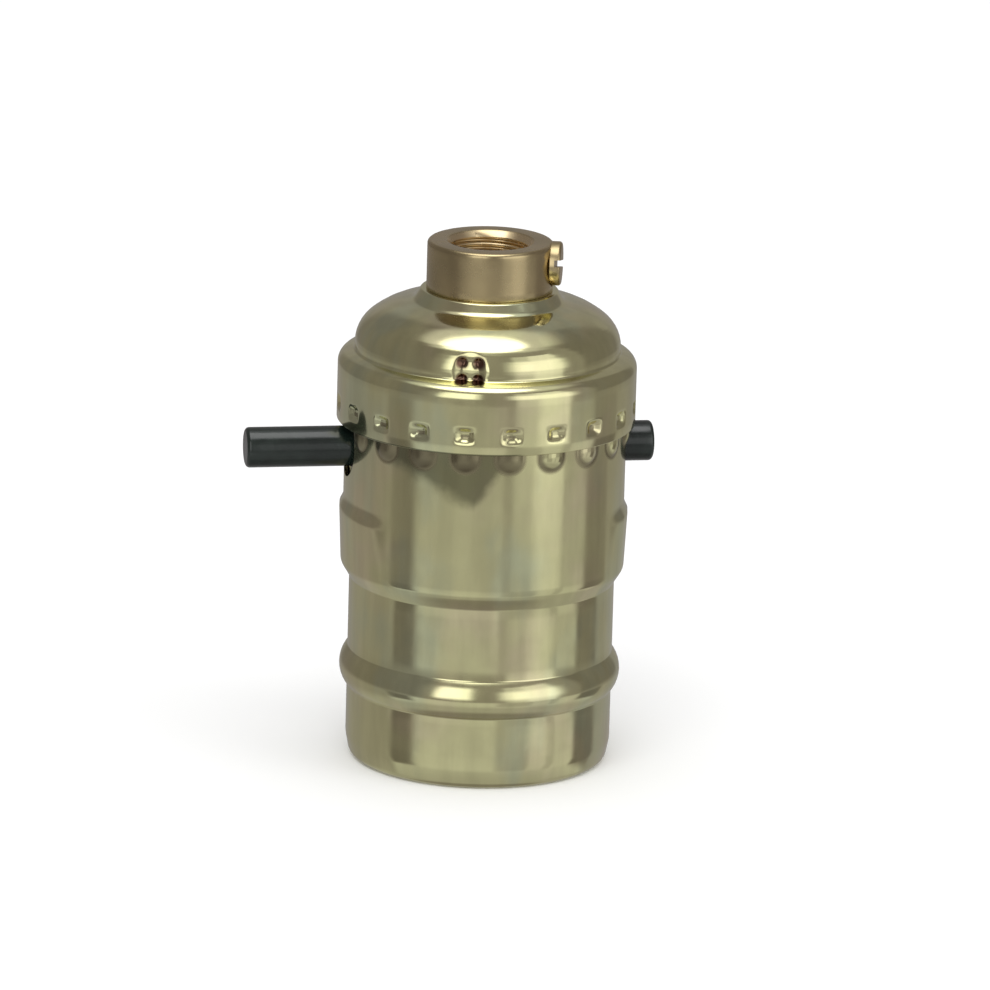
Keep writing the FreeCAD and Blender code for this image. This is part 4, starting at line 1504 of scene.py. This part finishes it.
@dataclass
class Lampholder:
    """Rolled threaded lampholder shell, closed by a plate; only the middle one of its three holes is made
    here.
    """

    wall: float = 0.35
    crest: float = 12.45
    root: float = 13.2
    mouth_z: float = 4.5
    top_z: float = 26.8
    bevel: float = 1.0
    nose_hole: float = 5.5
    mouth_round: float = 0.12
    fine_round: float = 0.1
    pitch: float = 25.4 / 7
    thread_end: float = 0.6
    thread_step: float = 0.25
    plain_step: float = 1.0
    columns: int = 180

    def outline(self) -> list[Point]:
        """Closed section of the rolled sheet.

        Returns:
            (radius, height) points in millimetres.
        """
        outer = [
            (self.crest + self.wall, self.mouth_z, self.mouth_round),
            (self.crest + self.wall, self.top_z, self.bevel),
            (self.nose_hole, self.top_z, self.fine_round),
        ]
        points = rounded(outer + offset_path(outer, self.wall)[::-1])
        threaded = self.crest - self.fine_round
        return divided(points, lambda r, z: self.thread_step if r > threaded else self.plain_step)

    def build(self, finishes: Finishes) -> Object:
        """Makes the lampholder shell.

        Args:
            finishes: the socket's finishes.

        Returns:
            The piece, riding on the socket.
        """
        thread = Thread(self.pitch, self.root - self.crest, self.mouth_z, self.top_z - self.thread_end,
                        self.root + self.wall)
        obj = turned_piece("lampholder_shell", self.outline(), self.columns, finishes.of(Slot.HOLDER),
                           [thread])
        return seat(obj, Body.SOCKET, Slot.HOLDER, "screw_shell")


@dataclass(frozen=True)
class Panel:
    """Soft box or grey screen that the metal mirrors, placed by angles in degrees.

    Azimuth runs to the right from the camera's own, and level 1 is white.
    """

    azimuth: Span
    elevation: Span
    level: float
    edge: float = 4.0
    rise: float = 4.0

    def over(self, graph: Graph, azimuth: Value, elevation: Value, under: Value
             ) -> Socket:
        """Lays the panel over what lies behind it.

        Args:
            graph: the world's nodes.
            azimuth: direction's azimuth from the camera, in degrees.
            elevation: direction's elevation, in degrees.
            under: brightness behind the panel.

        Returns:
            The brightness with the panel in front.
        """
        mask: Value = 1.0
        for angle, (low, high), soft in ((azimuth, self.azimuth, self.edge),
                                         (elevation, self.elevation, self.rise)):
            away = graph.gap(angle, (low + high) / 2)
            half = (high - low) / 2
            mask = graph.product(mask, graph.ramp(away, half - soft / 2, half + soft / 2, 1.0, 0.0))
        return graph.math("MULTIPLY_ADD", mask, graph.math("SUBTRACT", self.level, under), under)


@dataclass(frozen=True)
class SoftBox:
    """Square light that is aimed at the object."""

    name: str
    place: Triple
    size: float
    power: float

    def build(self, target: Triple) -> None:
        """Adds the light, which the mirrored surroundings stand for in reflections.

        Args:
            target: the point that it is aimed at.
        """
        light = bpy.data.lights.new(self.name, "AREA")
        light.size = self.size
        light.energy = self.power
        obj = bpy.data.objects.new(self.name, light)
        obj.location = self.place
        obj.visible_glossy = False
        aim = Vector(target) - Vector(self.place)
        obj.rotation_euler = aim.to_track_quat("-Z", "Y").to_euler()
        bpy.context.scene.collection.objects.link(obj)


@dataclass
class Studio:
    """Pale floor, soft lights, surroundings that the brass reflects, and the camera."""

    plain: float = 0.56
    panels: tuple[Panel, ...] = (
        Panel((-190.0, -84.0), (-95.0, 20.0), 0.31, 8.0),
        Panel((-83.0, -58.0), (-30.0, -8.0), 0.17, 9.0),
        Panel((16.0, 46.0), (-32.0, -8.0), 0.4, 5.0),
        Panel((63.0, 71.0), (-32.0, -8.0), 0.42, 3.0),
        Panel((120.0, 190.0), (-95.0, 20.0), 0.34, 10.0),
        Panel((93.0, 122.0), (-30.0, -8.0), 0.18, 6.0),
        Panel((-190.0, 190.0), (-95.0, -35.0), 0.4, 4.0, 18.0),
        Panel((-190.0, 190.0), (-15.2, 95.0), 0.29, 4.0, 3.0),
        Panel((-190.0, 190.0), (58.0, 99.0), 0.66, 4.0, 12.0),
        Panel((-190.0, 190.0), (-99.0, -62.0), 0.24, 4.0, 16.0),
        Panel((-160.0, -48.0), (-11.0, 56.0), 0.2, 14.0, 8.0),
        Panel((92.0, 150.0), (-11.0, 52.0), 0.19, 8.0, 8.0),
        Panel((-36.0, -6.0), (-5.0, 42.0), 1.5, 9.0, 12.0),
        Panel((24.0, 48.0), (-15.4, 44.0), 0.62, 6.0, 2.0),
        Panel((41.0, 68.0), (-15.4, 44.0), 0.92, 5.0, 2.0),
        Panel((21.0, 69.0), (-5.0, 27.0), 1.3, 18.0, 14.0),
    )
    lights: tuple[SoftBox, ...] = (
        SoftBox("key", (-0.3, -0.6, 0.9), 0.6, 3.0),
        SoftBox("fill", (0.7, -0.5, 0.5), 0.5, 1.5),
    )
    floor_half: float = 3.0
    floor_colour: tuple[float, ...] = (0.93, 0.93, 0.93, 1.0)
    floor_roughness: float = 0.9
    warm: Triple = (1.0, 0.92, 0.92)
    white: Triple = (1.0, 1.0, 1.0)
    warm_until: Span = (0.15, 0.5)
    overhead: Span = (-20.0, 83.0)
    overhead_reach: Span = (18.0, 26.0)
    overhead_level: float = 2.6
    azimuth: float = -10.2
    elevation: float = 15.2
    roll: float = 1.6
    distance: float = 1.0
    view_width: float = 0.1166
    image: float = 990.0
    target: Triple = (0.0, 0.0, 0.031)
    target_pixel: Span = (483.6, 500.0)
    sensor: float = 36.0

    def build(self) -> None:
        """Sets the whole studio up."""
        self.add_floor()
        self.add_world()
        for light in self.lights:
            light.build(self.target)
        self.add_camera()

    def add_floor(self) -> None:
        """Adds the pale floor."""
        half = self.floor_half
        mesh = bpy.data.meshes.new("floor")
        mesh.from_pydata([(-half, -half, 0), (half, -half, 0), (half, half, 0), (-half, half, 0)],
                         [], [(0, 1, 2, 3)])
        shading = Shading("pale floor")
        shading.feed("Base Color", self.floor_colour)
        shading.feed("Roughness", self.floor_roughness)
        mesh.materials.append(shading.material)
        floor = new_object("floor", mesh)
        floor.visible_glossy = False

    def add_world(self) -> None:
        """Adds white surroundings, in which mirrored rays see the panels and the overhead box."""
        world = bpy.data.worlds.new("studio")
        world.use_nodes = True
        bpy.context.scene.world = world
        graph = Graph(world.node_tree)
        background = world.node_tree.nodes["Background"]
        mirrored = graph.node("ShaderNodeLightPath").outputs["Is Glossy Ray"]
        level = self.mirrored_level(graph)
        tint = graph.blend(graph.ramp(level, *self.warm_until), self.warm, self.white)
        colour = graph.blend(mirrored, self.white, tint)
        strength = graph.math("MULTIPLY_ADD", mirrored, graph.math("SUBTRACT", level, 1.0), 1.0)
        world.node_tree.links.new(colour, background.inputs["Color"])
        world.node_tree.links.new(strength, background.inputs["Strength"])

    def mirrored_level(self, graph: Graph) -> Socket:
        """Adds the surroundings that a mirrored ray meets.

        Args:
            graph: the world's nodes.

        Returns:
            The brightness in the ray's direction.
        """
        way = graph.node("ShaderNodeTexCoord").outputs["Object"]
        turned = graph.node("ShaderNodeVectorRotate", {
            "Vector": way, "Angle": -math.radians(self.azimuth)}, rotation_type="Z_AXIS").outputs[0]
        parts = graph.node("ShaderNodeSeparateXYZ", {0: turned}).outputs
        azimuth = graph.math("DEGREES", graph.math("ARCTAN2", parts[0], graph.product(parts[1], -1.0)))
        elevation = graph.math("DEGREES", graph.math("ARCSINE", parts[2]))
        level: Value = self.plain
        for panel in self.panels:
            level = panel.over(graph, azimuth, elevation, level)
        side, rise = (math.radians(angle) for angle in self.overhead)
        aim = (math.sin(side) * math.cos(rise), -math.cos(side) * math.cos(rise), math.sin(rise))
        near = graph.node("ShaderNodeVectorMath", {0: turned, 1: aim}, operation="DOT_PRODUCT")
        away = graph.math("DEGREES", graph.math("ARCCOSINE", near.outputs["Value"]))
        mask = graph.ramp(away, *self.overhead_reach, 1.0, 0.0)
        return graph.math("MULTIPLY_ADD", mask, graph.math("SUBTRACT", self.overhead_level, level), level)

    def add_camera(self) -> None:
        """Adds the camera at the photograph's angle."""
        azimuth = math.radians(self.azimuth)
        elevation = math.radians(self.elevation)
        outward = Vector((math.sin(azimuth) * math.cos(elevation),
                          -math.cos(azimuth) * math.cos(elevation), math.sin(elevation)))
        turn = (-outward).to_track_quat("-Z", "Y").to_matrix().to_4x4()
        turn = turn @ Matrix.Rotation(math.radians(self.roll), 4, "Z")
        scale = self.view_width / self.image
        right = (self.image / 2 - self.target_pixel[0]) * scale
        up = (self.target_pixel[1] - self.image / 2) * scale
        centre = Vector(self.target) + turn.to_3x3() @ Vector((right, up, 0))
        camera = bpy.data.cameras.new("camera")
        camera.sensor_width = self.sensor
        camera.lens = self.sensor * self.distance / self.view_width
        obj = bpy.data.objects.new("camera", camera)
        obj.matrix_world = Matrix.Translation(centre + outward * self.distance) @ turn
        bpy.context.scene.collection.objects.link(obj)
        bpy.context.scene.camera = obj
        bpy.context.scene.view_settings.view_transform = "Standard"


def main() -> None:
    """Builds the finishes, the sub-assemblies and the studio in order."""
    logging.basicConfig(level=logging.INFO, format="%(name)s: %(message)s")
    finishes = Finishes()
    finishes.build()
    finishes.dress_nodes()
    for part in (Shell(), Cap(), Hub(), SetScrew(), PushRod(), Lampholder()):
        part.build(finishes)
    Studio().build()


if __name__ == "__main__":
    main()
